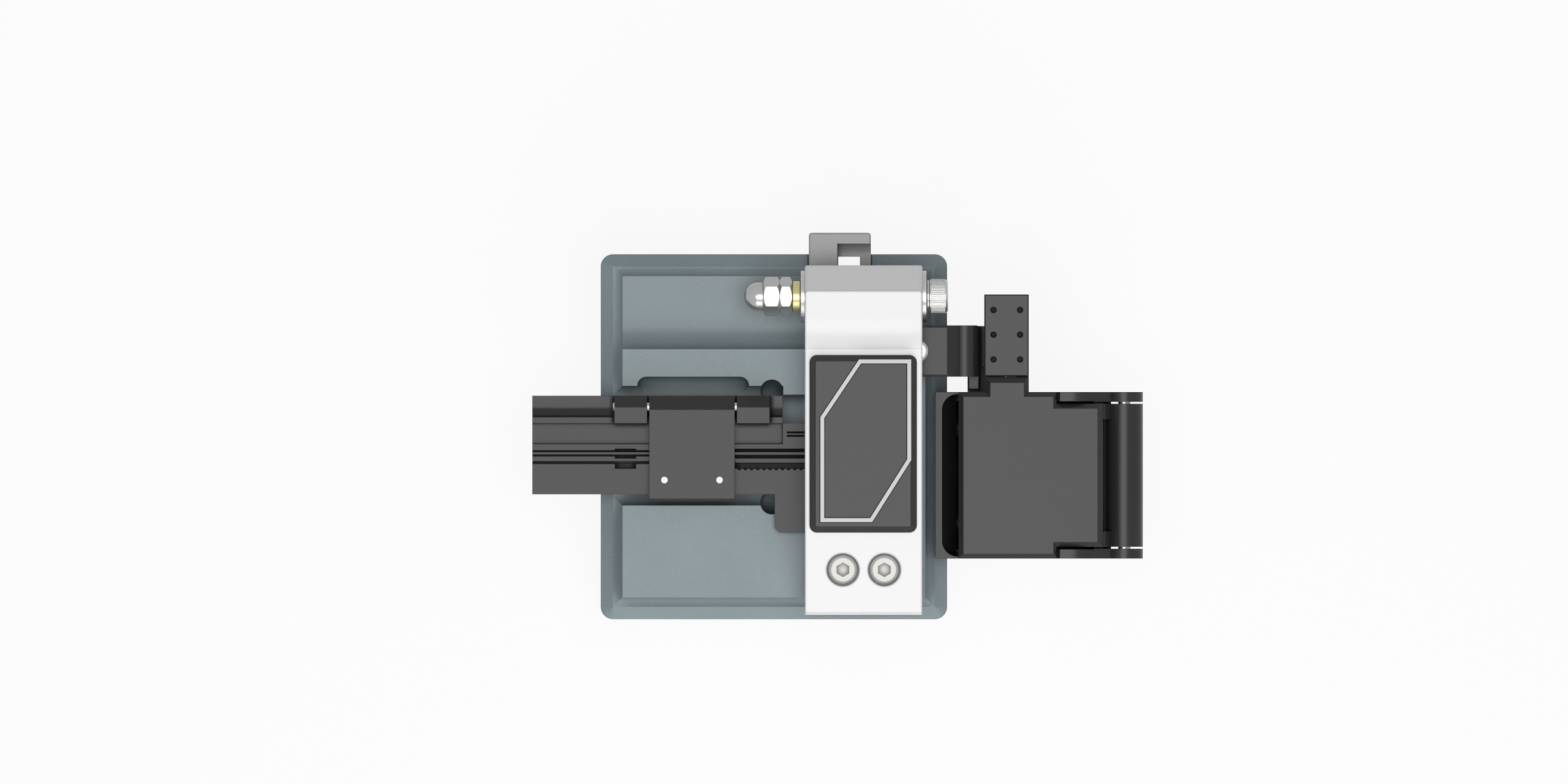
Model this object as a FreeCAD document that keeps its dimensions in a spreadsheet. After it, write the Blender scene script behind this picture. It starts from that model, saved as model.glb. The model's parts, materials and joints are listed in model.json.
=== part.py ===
import FreeCAD, Part
import math
import os
import re
import Sketcher

Vector = FreeCAD.Vector

# Bench-top fibre cleaver, in millimetres. X runs to the right along the fibre, Y to the rear and Z up.
# The origin is the centre of the rubber mat's underside, on the surface that the cleaver stands on.
# A size that ends in left or right is a place on the X axis, in front or rear one on Y, and in z a height.

base_sizes = {
    "base_width": 56.0,
    "base_depth": 59.0,
    "base_corner": 2.0,
    "base_under_z": 1.0,
    "rim_edge_z": 20.85,
    "rim_top_z": 22.0,
    "rim_width": 2.0,
    "rim_round": 0.35,
    "panel_margin": 3.5,
    "panel_foot": 1.4,
    "rear_panel_z": 23.5,
    "plateau_z": 27.0,
    "plateau_rear": 14.16,
    "cove_round": 3.4,
    "mat_thick": 2.0,
    "mat_margin": 3.0,
    "mat_gap": 0.2,
    "plate_pocket_rear": 8.2,
    "plate_pocket_front": -11.1,
    "relief_round": 1.85,
    "relief_inset": 0.8,
    "relief_deep": 0.3,
    "lid_room_rear": 9.7,
    "lid_room_before": 1.92,
    "lid_room_after": 2.31,
    "lid_room_corner": 1.45,
    "clamp_pocket_rear": 6.8,
    "clamp_pocket_right": 20.3,
    "chip_slot_left": 9.6,
    "chip_slot_width": 5.0,
    "chip_slot_front": 23.0,
    "base_screw_head_z": 17.0,
    "base_screw_room": 0.15,
    "m3_hole": 1.6,
    "m3_head": 2.75,
    "m3_shank": 1.5,
    "m3_head_tall": 3.0,
}

rail_sizes = {
    "channel_floor_z": 5.0,
    "channel_shelf_z": 12.0,
    "channel_roof_z": 18.7,
    "channel_open_front": -19.5,
    "slide_gap": 0.2,
    "rail_width": 5.0,
    "rail_tall": 3.6,
    "rail_front": -27.0,
    "rail_rear": 16.0,
    "rail_groove": 0.45,
    "rail_screw_pitch": 15.0,
    "carriage_width": 12.0,
    "carriage_length": 16.0,
    "carriage_front": -3.0,
    "carriage_lift": 1.0,
    "carriage_top_z": 11.0,
    "bearing_gap": 0.06,
}

slider_sizes = {
    "slider_left": 5.64,
    "slider_width": 10.03,
    "slider_front": -11.0,
    "slider_rear": 32.97,
    "slider_bar_z": 23.4,
    "slider_room": 0.6,
    "tail_z": 26.3,
    "tail_front": 23.6,
    "nose_z": 18.3,
    "nose_rear": 8.2,
    "tail_corner": 0.5,
    "notch_left": 10.25,
    "notch_rear": 31.2,
    "notch_z": 21.0,
    "notch_foot": 1.6,
    "cheek_rear": 19.5,
    "blade_slot_left": 10.4,
    "blade_slot_width": 3.5,
    "blade_slot_rear": 29.1,
    "blade_slot_end": 1.4,
    "blade_radius": 8.0,
    "blade_thick": 1.0,
    "blade_edge": 0.35,
    "blade_y": 11.0,
    "blade_bore": 2.0,
    "hub_flange": 2.5,
    "hub_gap": 0.1,
    "axle_radius": 1.25,
    "axle_head": 2.25,
    "axle_head_deep": 2.4,
    "pivot_gap": 0.03,
}

plate_sizes = {
    "fibre_z": 29.0,
    "plate_reach": 11.06,
    "plate_heel": 2.1,
    "plate_room": 0.1,
    "plate_rear": 6.63,
    "plate_front": -9.31,
    "plate_pin_y": 4.85,
    "plate_cove": 1.7,
    "plate_recess_rear": 2.18,
    "plate_recess_front": -1.19,
    "plate_recess_deep": 0.2,
    "groove_deep": 0.4,
    "groove_a": -2.48,
    "groove_b": -3.17,
    "groove_c": -4.39,
    "groove_narrow": 0.3,
    "groove_c_narrow": 0.43,
    "wide_deep": 0.8,
    "wide_a": 0.55,
    "wide_b_front": -3.51,
    "wide_b": 0.59,
    "wide_c_front": -5.15,
    "wide_c": 0.95,
    "window_length": 3.4,
    "tick_pitch": 1.0,
    "tick_width": 0.45,
    "tick_long": 0.22,
    "shelf_lap": 1.3,
    "shelf_right": 11.3,
    "shelf_rear": 2.2,
    "shelf_front": -15.5,
    "shelf_corner": 1.2,
    "slit_start": 0.7,
    "slit_front": 0.0,
    "slit_width": 0.3,
    "slit_pitch": 0.55,
    "knuckle_z": 31.3,
    "knuckle_rear_z": 29.7,
    "knuckle_slope_front": 4.75,
    "knuckle_length": 5.3,
    "knuckle_gap": 0.35,
    "lid_pin_radius": 0.75,
    "pad_width": 2.7,
    "pad_rear": 0.0,
    "pad_length": 7.0,
    "pad_thick": 1.0,
    "pad_gap_left": 0.4,
    "right_clamp_left": 13.0,
    "right_clamp_right": 20.0,
    "right_clamp_front": -11.0,
}

lid_sizes = {
    "lid_inset": 4.35,
    "lid_width": 13.81,
    "lid_front": -10.4,
    "lid_rear": 6.63,
    "lid_slope_front": 4.36,
    "lid_rear_z": 29.9,
    "lid_under_z": 29.25,
    "lid_top_z": 31.8,
    "lid_bevel": 0.4,
    "lid_barrel": 1.55,
    "magnet_radius": 0.525,
    "magnet_inset": 2.45,
    "magnet_y": -7.0,
    "lid_pad_length": 10.5,
    "lid_pad_rear": -0.5,
    "lid_pad_width": 5.0,
    "lid_pad_deep": 0.5,
    "lid_pad_proud": 0.12,
}

hinge_sizes = {
    "hinge_y": 22.67,
    "hinge_z": 32.0,
    "hinge_radius": 1.5,
    "post_gap": 0.4,
    "post_eye": 4.2,
    "post_leg_front": 19.2,
    "post_leg_rear": 25.2,
    "screw_head_tall": 2.9,
    "screw_head_radius": 2.75,
    "washer_radius": 2.62,
    "washer_thick": 0.52,
    "bearing_flange": 4.15,
    "bearing_flange_thick": 0.65,
    "bearing_radius": 3.0,
    "bush_radius": 2.5,
    "bush_length": 1.35,
    "nut_flat": 2.75,
    "nut_thick": 2.02,
    "acorn_hex": 2.6,
    "acorn_dome": 2.3,
    "acorn_length": 5.8,
    "rod_reach": 7.6,
}

arm_sizes = {
    "arm_left": 5.0,
    "arm_width": 19.0,
    "arm_wall": 2.6,
    "arm_rear": 27.7,
    "arm_front": -28.8,
    "arm_hump_z": 41.0,
    "arm_top_z": 40.0,
    "arm_under_z": 27.5,
    "arm_bridge_z": 29.7,
    "arm_bridge_rear": 2.6,
    "arm_bridge_front": -16.0,
    "arm_slope_front": 23.56,
    "arm_slope_foot_z": 36.5,
    "arm_dip_rear": 19.1,
    "arm_dip_front": 14.2,
    "arm_heel": 4.6,
    "arm_edge": 0.3,
    "arm_corner": 0.4,
    "eye_room": 4.6,
    "cavity_z": 37.2,
    "cavity_front": -9.6,
    "cavity_rear_z": 33.4,
    "cover_left_margin": 0.75,
    "cover_right_margin": 0.9,
    "cover_rear": 13.2,
    "cover_front": -15.5,
    "cover_thick": 1.6,
    "cover_corner": 1.2,
    "cover_bevel": 1.0,
    "ring_width": 0.65,
    "ring_proud": 0.3,
    "ring_deep": 0.3,
    "cap_screw_pitch": 6.7,
    "cap_screw_y": -21.5,
    "cap_screw_room": 2.62,
    "cap_screw_head": 2.25,
    "cap_screw_head_deep": 2.5,
    "cap_screw_sunk": 0.35,
    "cap_screw_hex": 1.0,
    "strike_length": 10.6,
    "strike_front": -25.0,
    "strike_width": 6.8,
    "strike_thick": 2.0,
    "catch_magnet_radius": 2.5,
    "catch_magnet_deep": 2.0,
    "catch_magnet_y": -23.4,
}

clamp_sizes = {
    "carrier_gap": 0.1,
    "carrier_under_z": 34.2,
    "carrier_rear": 2.2,
    "clamp_bar_z": 31.0,
    "clamp_bar_thick": 1.6,
    "clamp_bar_gap": 1.0,
    "clamp_pad_gap": 0.1,
    "clamp_pad_thick": 0.9,
    "guide_radius": 0.8,
    "guide_inset": 2.0,
    "guide_length": 4.0,
    "spring_wire": 0.15,
    "spring_gap": 0.12,
    "spring_turns": 3,
    "anvil_spring_wire": 0.15,
    "anvil_spring_turns": 2.5,
    "anvil_width": 0.9,
    "anvil_rear": -0.8,
    "anvil_length": 4.4,
    "anvil_tip_z": 29.6,
    "anvil_shoulder_z": 33.3,
    "anvil_stem": 1.0,
    "anvil_stem_z": 35.2,
    "anvil_room": 0.4,
}

lever_sizes = {
    "lever_front": 9.7,
    "lever_width": 8.3,
    "lever_top_z": 35.0,
    "lever_thick": 3.6,
    "lever_slope": 2.8,
    "lever_nose_z": 30.7,
    "lever_nose": 2.5,
    "lever_edge": 0.35,
    "lever_corner": 0.6,
    "lever_screw_inset": 0.8,
    "lever_reach": 0.5,
    "lever_screw_head": 1.75,
    "lever_screw_tall": 1.2,
    "lever_screw_radius": 0.8,
    "lever_room": 0.15,
}

box_sizes = {
    "flange_reach": 1.9,
    "flange_thick": 1.1,
    "flange_under_z": 22.3,
    "box_rear": 7.23,
    "box_front": -19.7,
    "box_length": 25.2,
    "box_under_z": 9.0,
    "box_rim_z": 28.6,
    "box_wall": 1.5,
    "inlet_reach": 1.9,
    "inlet_floor_z": 23.4,
    "inlet_corner": 2.5,
    "inlet_margin": 0.35,
    "inlet_lip": 0.8,
    "sill_reach": 1.3,
    "sill_thick": 1.2,
    "cheek_inset": 6.95,
    "cheek_wall": 1.6,
    "cheek_top_z": 34.3,
    "cheek_flat": 3.95,
    "cheek_round": 6.0,
    "box_hinge_reach": 3.45,
    "box_hinge_z": 27.6,
    "box_ear": 3.0,
    "box_pin_radius": 1.0,
    "cover_gap": 0.3,
    "box_corner": 1.0,
    "neck_width": 7.0,
    "neck_rear": 9.5,
    "boss_rear": 9.7,
    "boss_under_z": 20.0,
    "box_screw_z": 15.5,
    "box_screw_y": -14.0,
    "box_screw_pitch": 15.5,
    "box_screw_head": 2.6,
}

drive_sizes = {
    "drive_reach": 9.6,
    "drive_z": 26.05,
    "shaft_radius": 1.5,
    "shaft_front": -19.2,
    "shaft_rear": 21.6,
    "roller_radius": 2.9,
    "roller_front": -14.5,
    "roller_length": 17.5,
    "idler_radius": 2.1,
    "idler_z": 31.15,
    "idler_axle": 0.8,
    "bush_wall": 0.6,
    "bush_lip": 0.35,
    "bush_lip_thick": 0.6,
    "housing_lap": 0.2,
    "housing_web": 1.0,
    "housing_front": 9.75,
    "housing_rear": 23.0,
    "housing_under_z": 20.0,
    "housing_top_z": 33.6,
    "housing_skin": 1.6,
    "housing_room_front": 11.0,
    "housing_room_rear": 18.2,
    "housing_room_under_z": 21.8,
    "dimple_inset": 1.5,
    "dimple_y": 12.5,
    "dimple_across": 4.3,
    "dimple_pitch": 4.0,
    "dimple_radius": 0.5,
    "dimple_deep": 0.5,
    "crank_reach": 6.3,
    "crank_pad": 2.0,
    "crank_step": 0.4,
    "crank_front": 7.5,
    "crank_eye_front": 11.3,
    "crank_rear": 17.9,
    "crank_top_z": 27.7,
    "crank_step_z": 26.8,
    "crank_under_z": 24.8,
    "crank_eye": 2.3,
    "lid2_top_z": 34.5,
    "lid2_under_z": 28.9,
    "lid2_reach": 1.85,
    "lid2_gap": 0.1,
    "lid2_bevel": 0.78,
    "lid2_wall": 1.5,
    "lid2_skin": 0.9,
    "fibre_gate_z": 30.6,
    "fibre_gate_rear": 1.5,
    "fibre_gate_front": -9.0,
    "lid2_arm_width": 2.5,
    "lid2_arm_reach": 0.45,
}

# Places that follow from the sizes
places = {
    "arm_right": "arm_left + arm_width",
    "cavity_left": "arm_left + arm_wall",
    "cavity_right": "arm_right - arm_wall",
    "arm_mid": "arm_left + arm_width / 2",
    "cover_left": "arm_left + cover_left_margin",
    "cover_right": "arm_right - cover_right_margin",
    "cap_screw_x": "arm_mid - cap_screw_pitch / 2",
    "strike_left": "arm_mid - strike_length / 2",
    "post_left": "cavity_left + post_gap",
    "post_right": "cavity_right - post_gap",
    "post_leg_left": "slider_left + slider_width + slide_gap + post_gap",
    "screw_head_left": "arm_right + bearing_flange_thick + washer_thick + pivot_gap",
    "screw_head_right": "screw_head_left + screw_head_tall",
    "rod_left": "arm_left - rod_reach",
    "clamp_bar_right": "cavity_right - clamp_bar_gap",
    "guide_right_x": "clamp_bar_right - guide_inset",
    "lid_left": "panel_margin + lid_inset - base_width / 2",
    "lid_right": "lid_left + lid_width",
    "lid_room_left": "lid_left - lid_room_before",
    "lid_room_right": "lid_right + lid_room_after",
    "left_knuckle_right": "lid_left - knuckle_gap",
    "left_knuckle_left": "left_knuckle_right - knuckle_length",
    "right_knuckle_left": "lid_right + knuckle_gap",
    "right_knuckle_right": "right_knuckle_left + knuckle_length",
    "plate_left": "0 - base_width / 2 - plate_reach",
    "plate_right": "right_knuckle_right + plate_heel",
    "plate_pocket_right": "plate_right + plate_room",
    "shelf_left": "plate_right - shelf_lap",
    "slit_left": "plate_right + slit_start",
    "window_left": "left_knuckle_left + plate_room",
    "flange_left": "base_width / 2 - flange_reach",
    "inlet_right": "base_width / 2 + inlet_reach",
    "box_right": "base_width / 2 + box_length",
    "cheek_left": "box_right - cheek_inset",
    "cheek_crest": "cheek_left + cheek_flat",
    "box_hinge_x": "box_right + box_hinge_reach",
    "drive_x": "base_width / 2 + drive_reach",
    "neck_left": "drive_x + housing_lap / 2 - neck_width / 2",
    "neck_right": "neck_left + neck_width",
    "housing_left": "neck_left - housing_lap",
    "dimple_x": "housing_left + dimple_inset",
    "crank_tip": "drive_x - crank_reach",
    "crank_pad_right": "crank_tip + crank_pad",
    "crank_step_right": "crank_pad_right + crank_step",
    "lever_nose_x": "crank_tip - lever_reach",
    "lever_flat_right": "lever_nose_x - lever_slope",
    "lever_screw_x": "arm_right - lever_screw_inset",
    "lid2_left": "base_width / 2 + lid2_reach",
    "lid2_right": "box_right - lid2_gap",
}

size = {}
for group in (base_sizes, rail_sizes, slider_sizes, plate_sizes, lid_sizes, hinge_sizes,
              arm_sizes, clamp_sizes, lever_sizes, box_sizes, drive_sizes):
    size.update(group)

doc = FreeCAD.newDocument("fibre_cleaver")
sheet = doc.addObject("Spreadsheet::Sheet", "sizes")
for row, (name, amount) in enumerate(size.items(), start=1):
    sheet.set("A%d" % row, name)
    sheet.set("B%d" % row, str(amount))
    sheet.setAlias("B%d" % row, name)
gauge = doc.addObject("App::FeaturePython", "gauge")
gauge.addProperty("App::PropertyFloat", "reading")
doc.recompute()

NEAR = 0.02
pieces = []


def bound(text):
    # Turns a formula in names of sizes and places into one that reads the sheet.
    def named(found):
        name = found.group()
        if name in places:
            return "(" + bound(places[name]) + ")"
        return "sizes." + name if name in size else name

    return re.sub(r"[a-z][a-z0-9_]*", named, str(text))


def number(text):
    gauge.setExpression("reading", bound(text))
    gauge.recompute()
    return gauge.reading


def pick(along=None, straight=True, **places):
    # Edges that lie in every place named by x, y or z: a formula for a plane, a pair for a stretch.
    spans = {}
    for axis, place in places.items():
        low, high = place if isinstance(place, tuple) else (place, place)
        spans["xyz".index(axis)] = (number(low), number(high))

    def wanted(edge):
        box = edge.BoundBox
        lows, highs = (box.XMin, box.YMin, box.ZMin), (box.XMax, box.YMax, box.ZMax)
        if along:
            extent = [high - low for low, high in zip(lows, highs)]
            if max(extent) - extent["XYZ".index(along)] > NEAR:
                return False
            if straight and sum(extent) - extent["XYZ".index(along)] > NEAR:
                return False
        return all(lows[n] > low - NEAR and highs[n] < high + NEAR for n, (low, high) in spans.items())

    return wanted


class Piece:
    # One sub-part: a body that gets its features in the order in which the real one is made.

    def __init__(self, label):
        self.body = doc.addObject("PartDesign::Body", label)
        self.body.Label = label
        self.body.AllowCompound = True
        self.planes = {feature.Role: feature for feature in self.body.Origin.OriginFeatures}
        pieces.append(self.body)

    def sketch(self, plane, x="0", y="0", z="0"):
        drawing = self.body.newObject("Sketcher::SketchObject", "sketch_" + self.body.Label)
        drawing.AttachmentSupport = [(self.planes[plane], "")]
        drawing.MapMode = "FlatFace"
        for axis, place in zip("xyz", (x, y, z)):
            drawing.setExpression("AttachmentOffset.Base." + axis, bound(place))
        return drawing

    def plan(self, z):
        # Seen from above, at a height: across is X, up is Y, and a pad rises from it.
        return self.sketch("XY_Plane", z=z)

    def side(self, x):
        # Seen from the right, at a place on X: across is Y, up is Z, and a pad grows to the right.
        return self.sketch("YZ_Plane", z=x)

    def front(self, y):
        # Seen from the front, at a place on Y: across is X, up is Z, and a pad grows to the front.
        return self.sketch("XZ_Plane", z="-(%s)" % y)

    def about_x(self, y, z):
        # For a turned shape with its axis along X: across is X, up is the radius.
        return self.sketch("XZ_Plane", y=z, z="-(%s)" % y)

    def about_y(self, x, z):
        # For a turned shape with its axis along Y: across is Y, up is the radius.
        return self.sketch("YZ_Plane", y=z, z=x)

    def about_z(self, x, y):
        # For a turned shape with its axis along Z: across is the radius, up is Z.
        return self.sketch("XZ_Plane", x=x, z="-(%s)" % y)

    def feature(self, kind, **values):
        item = self.body.newObject("PartDesign::" + kind, kind.lower() + "_" + self.body.Label)
        for name, value in values.items():
            if isinstance(value, str) and name not in ("ChamferType", "Type", "Midplane"):
                item.setExpression(name, bound(value))
            else:
                setattr(item, name, value)
        self.body.Tip = item
        return item

    def pad(self, drawing, length):
        return self.feature("Pad", Profile=drawing, Length=length)

    def cut(self, drawing, length, onward=True):
        # Takes away what lies ahead of the sketch, or behind it.
        return self.feature("Pocket", Profile=drawing, Length=length, Reversed=onward)

    def turn(self, drawing, axis="H_Axis"):
        return self.feature("Revolution", Profile=drawing, ReferenceAxis=(drawing, [axis]), Angle=360.0)

    def bore(self, drawing, axis="H_Axis"):
        return self.feature("Groove", Profile=drawing, ReferenceAxis=(drawing, [axis]), Angle=360.0)

    def edges(self, wanted):
        doc.recompute()
        found = ["Edge%d" % n for n, edge in enumerate(self.body.Shape.Edges, start=1) if wanted(edge)]
        if not found:
            raise ValueError("no edge to work on in " + self.body.Label)
        return (self.body.Tip, found)

    def round(self, radius, wanted):
        return self.feature("Fillet", Base=self.edges(wanted), Radius=radius)

    def bevel(self, width, wanted):
        return self.feature("Chamfer", Base=self.edges(wanted), Size=width)

    def repeat(self, features, drawing, axis, length, count):
        return self.feature("LinearPattern", Originals=features, Direction=(drawing, [axis]),
                            Length=length, Occurrences=count)


def tie(drawing, kind, place, text):
    index = drawing.addConstraint(Sketcher.Constraint(kind, *place, number(text)))
    drawing.setExpression("Constraints[%d]" % index, bound(text))


def outline(drawing, points, arcs=None):
    # A closed outline through the points. arcs gives a side's radius, positive to turn anticlockwise.
    arcs = arcs or {}
    first = drawing.GeometryCount
    count = len(points)
    spots = [Vector(number(x), number(y), 0) for x, y in points]
    for n in range(count):
        start, end = spots[n], spots[(n + 1) % count]
        if n in arcs:
            radius = number(arcs[n])
            turn = math.copysign(1, radius)
            chord = end - start
            rise = math.sqrt(max(radius ** 2 - (chord.Length / 2) ** 2, 0.0))
            across = Vector(-chord.y, chord.x, 0).normalize()
            middle = (start + end) / 2 + across * turn * (rise - abs(radius))
            ends = (start, end) if turn > 0 else (end, start)
            drawing.addGeometry(Part.Arc(ends[0], middle, ends[1]), False)
        else:
            drawing.addGeometry(Part.LineSegment(start, end), False)
    first_end = [(2, 1) if n in arcs and number(arcs[n]) < 0 else (1, 2) for n in range(count)]
    for n in range(count):
        after = (n + 1) % count
        here, there = first_end[n], first_end[after]
        drawing.addConstraint(Sketcher.Constraint("Coincident", first + n, here[1], first + after, there[0]))
        tie(drawing, "DistanceX", (-1, 1, first + n, here[0]), points[n][0])
        tie(drawing, "DistanceY", (-1, 1, first + n, here[0]), points[n][1])
        if n in arcs:
            tie(drawing, "Radius", (first + n,), "abs(%s)" % arcs[n])
    return drawing


def slab(drawing, left, right, low, high):
    return outline(drawing, [(left, low), (right, low), (right, high), (left, high)])


def disc(drawing, x, y, radius):
    circle = Part.Circle(Vector(number(x), number(y), 0), Vector(0, 0, 1), number(radius))
    index = drawing.addGeometry(circle, False)
    tie(drawing, "DistanceX", (-1, 1, index, 3), x)
    tie(drawing, "DistanceY", (-1, 1, index, 3), y)
    tie(drawing, "Radius", (index,), radius)
    return drawing


def hexagon(drawing, radius, first=30):
    # A hexagon about the sketch's own origin, from its radius to the corners and the first corner's angle.
    corners = []
    for n in range(6):
        turn = (radius, 60 * n + first)
        corners.append(("(%s) * cos(%d deg)" % turn, "(%s) * sin(%d deg)" % turn))
    return outline(drawing, corners)


# Places that several pieces share
slider_mid = "(slider_left + slider_width / 2)"
slider_right = "(slider_left + slider_width)"
channel_left = "(slider_left - slide_gap)"
channel_right = "(slider_left + slider_width + slide_gap)"
undercut_left = "(slider_left + slider_width / 2 - carriage_width / 2 - 0.3)"
undercut_right = "(slider_left + slider_width / 2 + carriage_width / 2 + 0.3)"
base_left = "(-base_width / 2)"
base_right = "(base_width / 2)"
base_rear = "(base_depth / 2)"
base_front = "(-base_depth / 2)"
panel_left = "(-base_width / 2 + panel_margin)"
panel_right = "(base_width / 2 - panel_margin)"
panel_rear = "(base_depth / 2 - panel_margin)"
panel_front = "(-base_depth / 2 + panel_margin)"
blade_x = "(blade_slot_left + blade_slot_width / 2)"
blade_z = "(fibre_z - blade_radius)"
left_pad_left = "(shelf_right - pad_gap_left - pad_width)"
right_pad_left = "(right_clamp_left + pad_gap_left)"
post_screw_x = "(slider_left + slider_width + slide_gap + m3_head + base_screw_room)"
post_screw_y = "((post_leg_front + post_leg_rear) / 2)"
plate_screw_x = "(plate_pocket_right - 6)"
plate_screw_pitch = "16"


def base_casting():
    base = Piece("base_casting")
    base.pad(slab(base.plan("base_under_z"), base_left, base_right, base_front, base_rear),
             "rim_top_z - base_under_z")
    base.round("base_corner", pick(along="Z"))
    rim = base.edges(pick(z="rim_top_z"))
    base.feature("Chamfer", Base=rim, ChamferType="Two distances", Size="rim_width",
                 Size2="rim_top_z - rim_edge_z", FlipDirection=True)
    base.round("rim_round", pick(z="rim_edge_z"))
    # Rear panel, and the higher plateau in front of it
    base.pad(slab(base.plan("rim_top_z"), panel_left, panel_right, panel_front, panel_rear),
             "rear_panel_z - rim_top_z")
    base.pad(slab(base.plan("rear_panel_z"), panel_left, panel_right, panel_front, "plateau_rear"),
             "plateau_z - rear_panel_z")
    base.round("cove_round", pick(along="X", y="plateau_rear", z="rear_panel_z"))
    # Pocket for the fibre plate with room for the lid's heel, then the cove round the foot of it all
    base.cut(slab(base.plan("rim_top_z"), "-base_width / 2 - 1", "plate_pocket_right",
                  "plate_pocket_front", "plate_pocket_rear"), "plateau_z")
    base.cut(slab(base.plan("rim_top_z"), "lid_room_left", "lid_room_right",
                  "plate_pocket_rear - 1", "lid_room_rear"), "plateau_z")
    base.round("lid_room_corner", pick(along="Z", x=("lid_room_left", "lid_room_right"), y="lid_room_rear"))
    foot = pick(z="rim_top_z", x=(panel_left, panel_right), y=(panel_front, panel_rear))
    right_wall = pick(along="Y", x="plate_pocket_right")
    base.round("panel_foot", lambda edge: foot(edge) and not right_wall(edge))
    # Relief holes in the pocket's corners, and the pocket for the clamps under the arm
    relief_x = "plate_pocket_right - relief_round"
    relief = base.plan("rim_top_z - relief_deep")
    disc(relief, relief_x, "plate_pocket_rear - relief_inset", "relief_round")
    disc(relief, relief_x, "plate_pocket_front + relief_inset / 2", "relief_round")
    base.cut(relief, "plateau_z")
    base.cut(slab(base.plan("rim_top_z"), "plate_pocket_right - 1", "clamp_pocket_right",
                  "plate_pocket_front", "clamp_pocket_rear"), "plateau_z")
    # Channel of the blade slider: wide at the foot for the carriage, open to the rear and the front
    base.cut(slab(base.plan("channel_floor_z"), undercut_left, undercut_right,
                  "-base_depth", "base_depth"), "channel_shelf_z - channel_floor_z")
    base.cut(slab(base.plan("channel_floor_z"), channel_left, channel_right,
                  "-base_depth", "base_depth"), "channel_roof_z - channel_floor_z")
    base.cut(slab(base.plan("channel_floor_z"), channel_left, channel_right,
                  "channel_open_front", "base_depth"), "plateau_z")
    base.cut(slab(base.plan("channel_floor_z"), "chip_slot_left", "chip_slot_left + chip_slot_width",
                  "chip_slot_front", "base_depth"), "base_width", onward=False)
    hole = disc(base.plan("channel_floor_z - 2.4"), slider_mid, "rail_front + 6.5", "1")
    base.repeat([base.cut(hole, "3")], hole, "V_Axis", "rail_screw_pitch * 2", 3)
    # Underside: mat recess and the screws that come up from below
    base.cut(slab(base.plan("mat_thick"), "mat_margin - base_width / 2", "base_width / 2 - mat_margin",
                  "mat_margin - base_depth / 2", "base_depth / 2 - mat_margin"), "mat_thick", onward=False)
    for x, y, pitch, tip in base_screws():
        for radius, depth in (("m3_head + base_screw_room", "base_screw_head_z"), ("m3_hole", "plateau_z")):
            hole = base.plan("0")
            disc(hole, x, y, radius)
            drilled = base.cut(hole, depth)
            if pitch:
                base.repeat([drilled], hole, "H_Axis", pitch, 2)
    # Holes in the right wall for the scrap box, then the catch magnet's seat and the clamp block's holes
    hole = disc(base.side("base_width / 2 - 5.4"), "box_screw_y", "box_screw_z", "m3_hole")
    base.repeat([base.cut(hole, "6")], hole, "H_Axis", "box_screw_pitch", 2)
    base.cut(disc(base.plan("plateau_z - catch_magnet_deep"), "arm_mid", "catch_magnet_y",
                  "catch_magnet_radius + base_screw_room / 3"), "plateau_z")
    hole = disc(base.plan("rim_top_z - 6"), clamp_screw_x, clamp_screw_y, "0.9")
    base.repeat([base.cut(hole, "plateau_z")], hole, "V_Axis", clamp_screw_pitch, 2)


def base_screws():
    # The screws from below: place, pitch along X if there are two, and the height where the tip ends
    return (
        (plate_screw_x + " - " + plate_screw_pitch, "(plate_front + plate_rear) / 2", plate_screw_pitch,
         "rim_top_z + 3.4"),
        (post_screw_x, post_screw_y, None, "rear_panel_z + 6"),
    )


clamp_screw_x = "(right_clamp_right - 1.95)"
clamp_screw_y = "(right_clamp_front + 2.4)"
clamp_screw_pitch = "8"


def base_mat():
    mat = Piece("base_mat")
    edge = "(mat_margin + mat_gap)"
    mat.pad(slab(mat.plan("0"), edge + " - base_width / 2", "base_width / 2 - " + edge,
                 edge + " - base_depth / 2", "base_depth / 2 - " + edge), "mat_thick")
    mat.round("base_corner", pick(along="Z"))
    mat.cut(slab(mat.plan("0"), "chip_slot_left", "chip_slot_left + chip_slot_width",
                 "chip_slot_front", "base_depth"), "mat_thick")
    mat.bevel("mat_gap", pick(z="0"))


def fasteners_from_below(label, x, y, pitch, tip):
    screws = Piece(label)
    head = disc(screws.plan("base_screw_head_z - m3_head_tall"), x, y, "m3_head")
    head = screws.pad(head, "m3_head_tall")
    shank = disc(screws.plan("base_screw_head_z"), x, y, "m3_shank")
    shank = screws.pad(shank, tip + " - base_screw_head_z")
    if pitch:
        screws.repeat([head, shank], shank.Profile[0], "H_Axis", pitch, 2)


def linear_rail():
    rail = Piece("linear_rail")
    half = "rail_width / 2"
    top = "(channel_floor_z + rail_tall)"
    groove = "(channel_floor_z + rail_tall * 0.6)"
    section = rail.front("rail_rear")
    left, right = slider_mid + " - " + half, slider_mid + " + " + half
    outline(section, [
        (left, "channel_floor_z"), (right, "channel_floor_z"),
        (right, groove + " - rail_groove"), (right, groove + " + rail_groove"),
        (right, top), (left, top),
        (left, groove + " + rail_groove"), (left, groove + " - rail_groove")],
        arcs={2: "-rail_groove * 1.02", 6: "-rail_groove * 1.02"})
    rail.pad(section, "rail_rear - rail_front")
    seat = disc(rail.plan(top + " - 1.2"), slider_mid, "rail_front + 6.5", "1.55")
    hole = disc(rail.plan("channel_floor_z"), slider_mid, "rail_front + 6.5", "1.05")
    drilled = [rail.cut(seat, "2"), rail.cut(hole, "rail_tall")]
    rail.repeat(drilled, hole, "V_Axis", "rail_screw_pitch * 2", 3)


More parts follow.
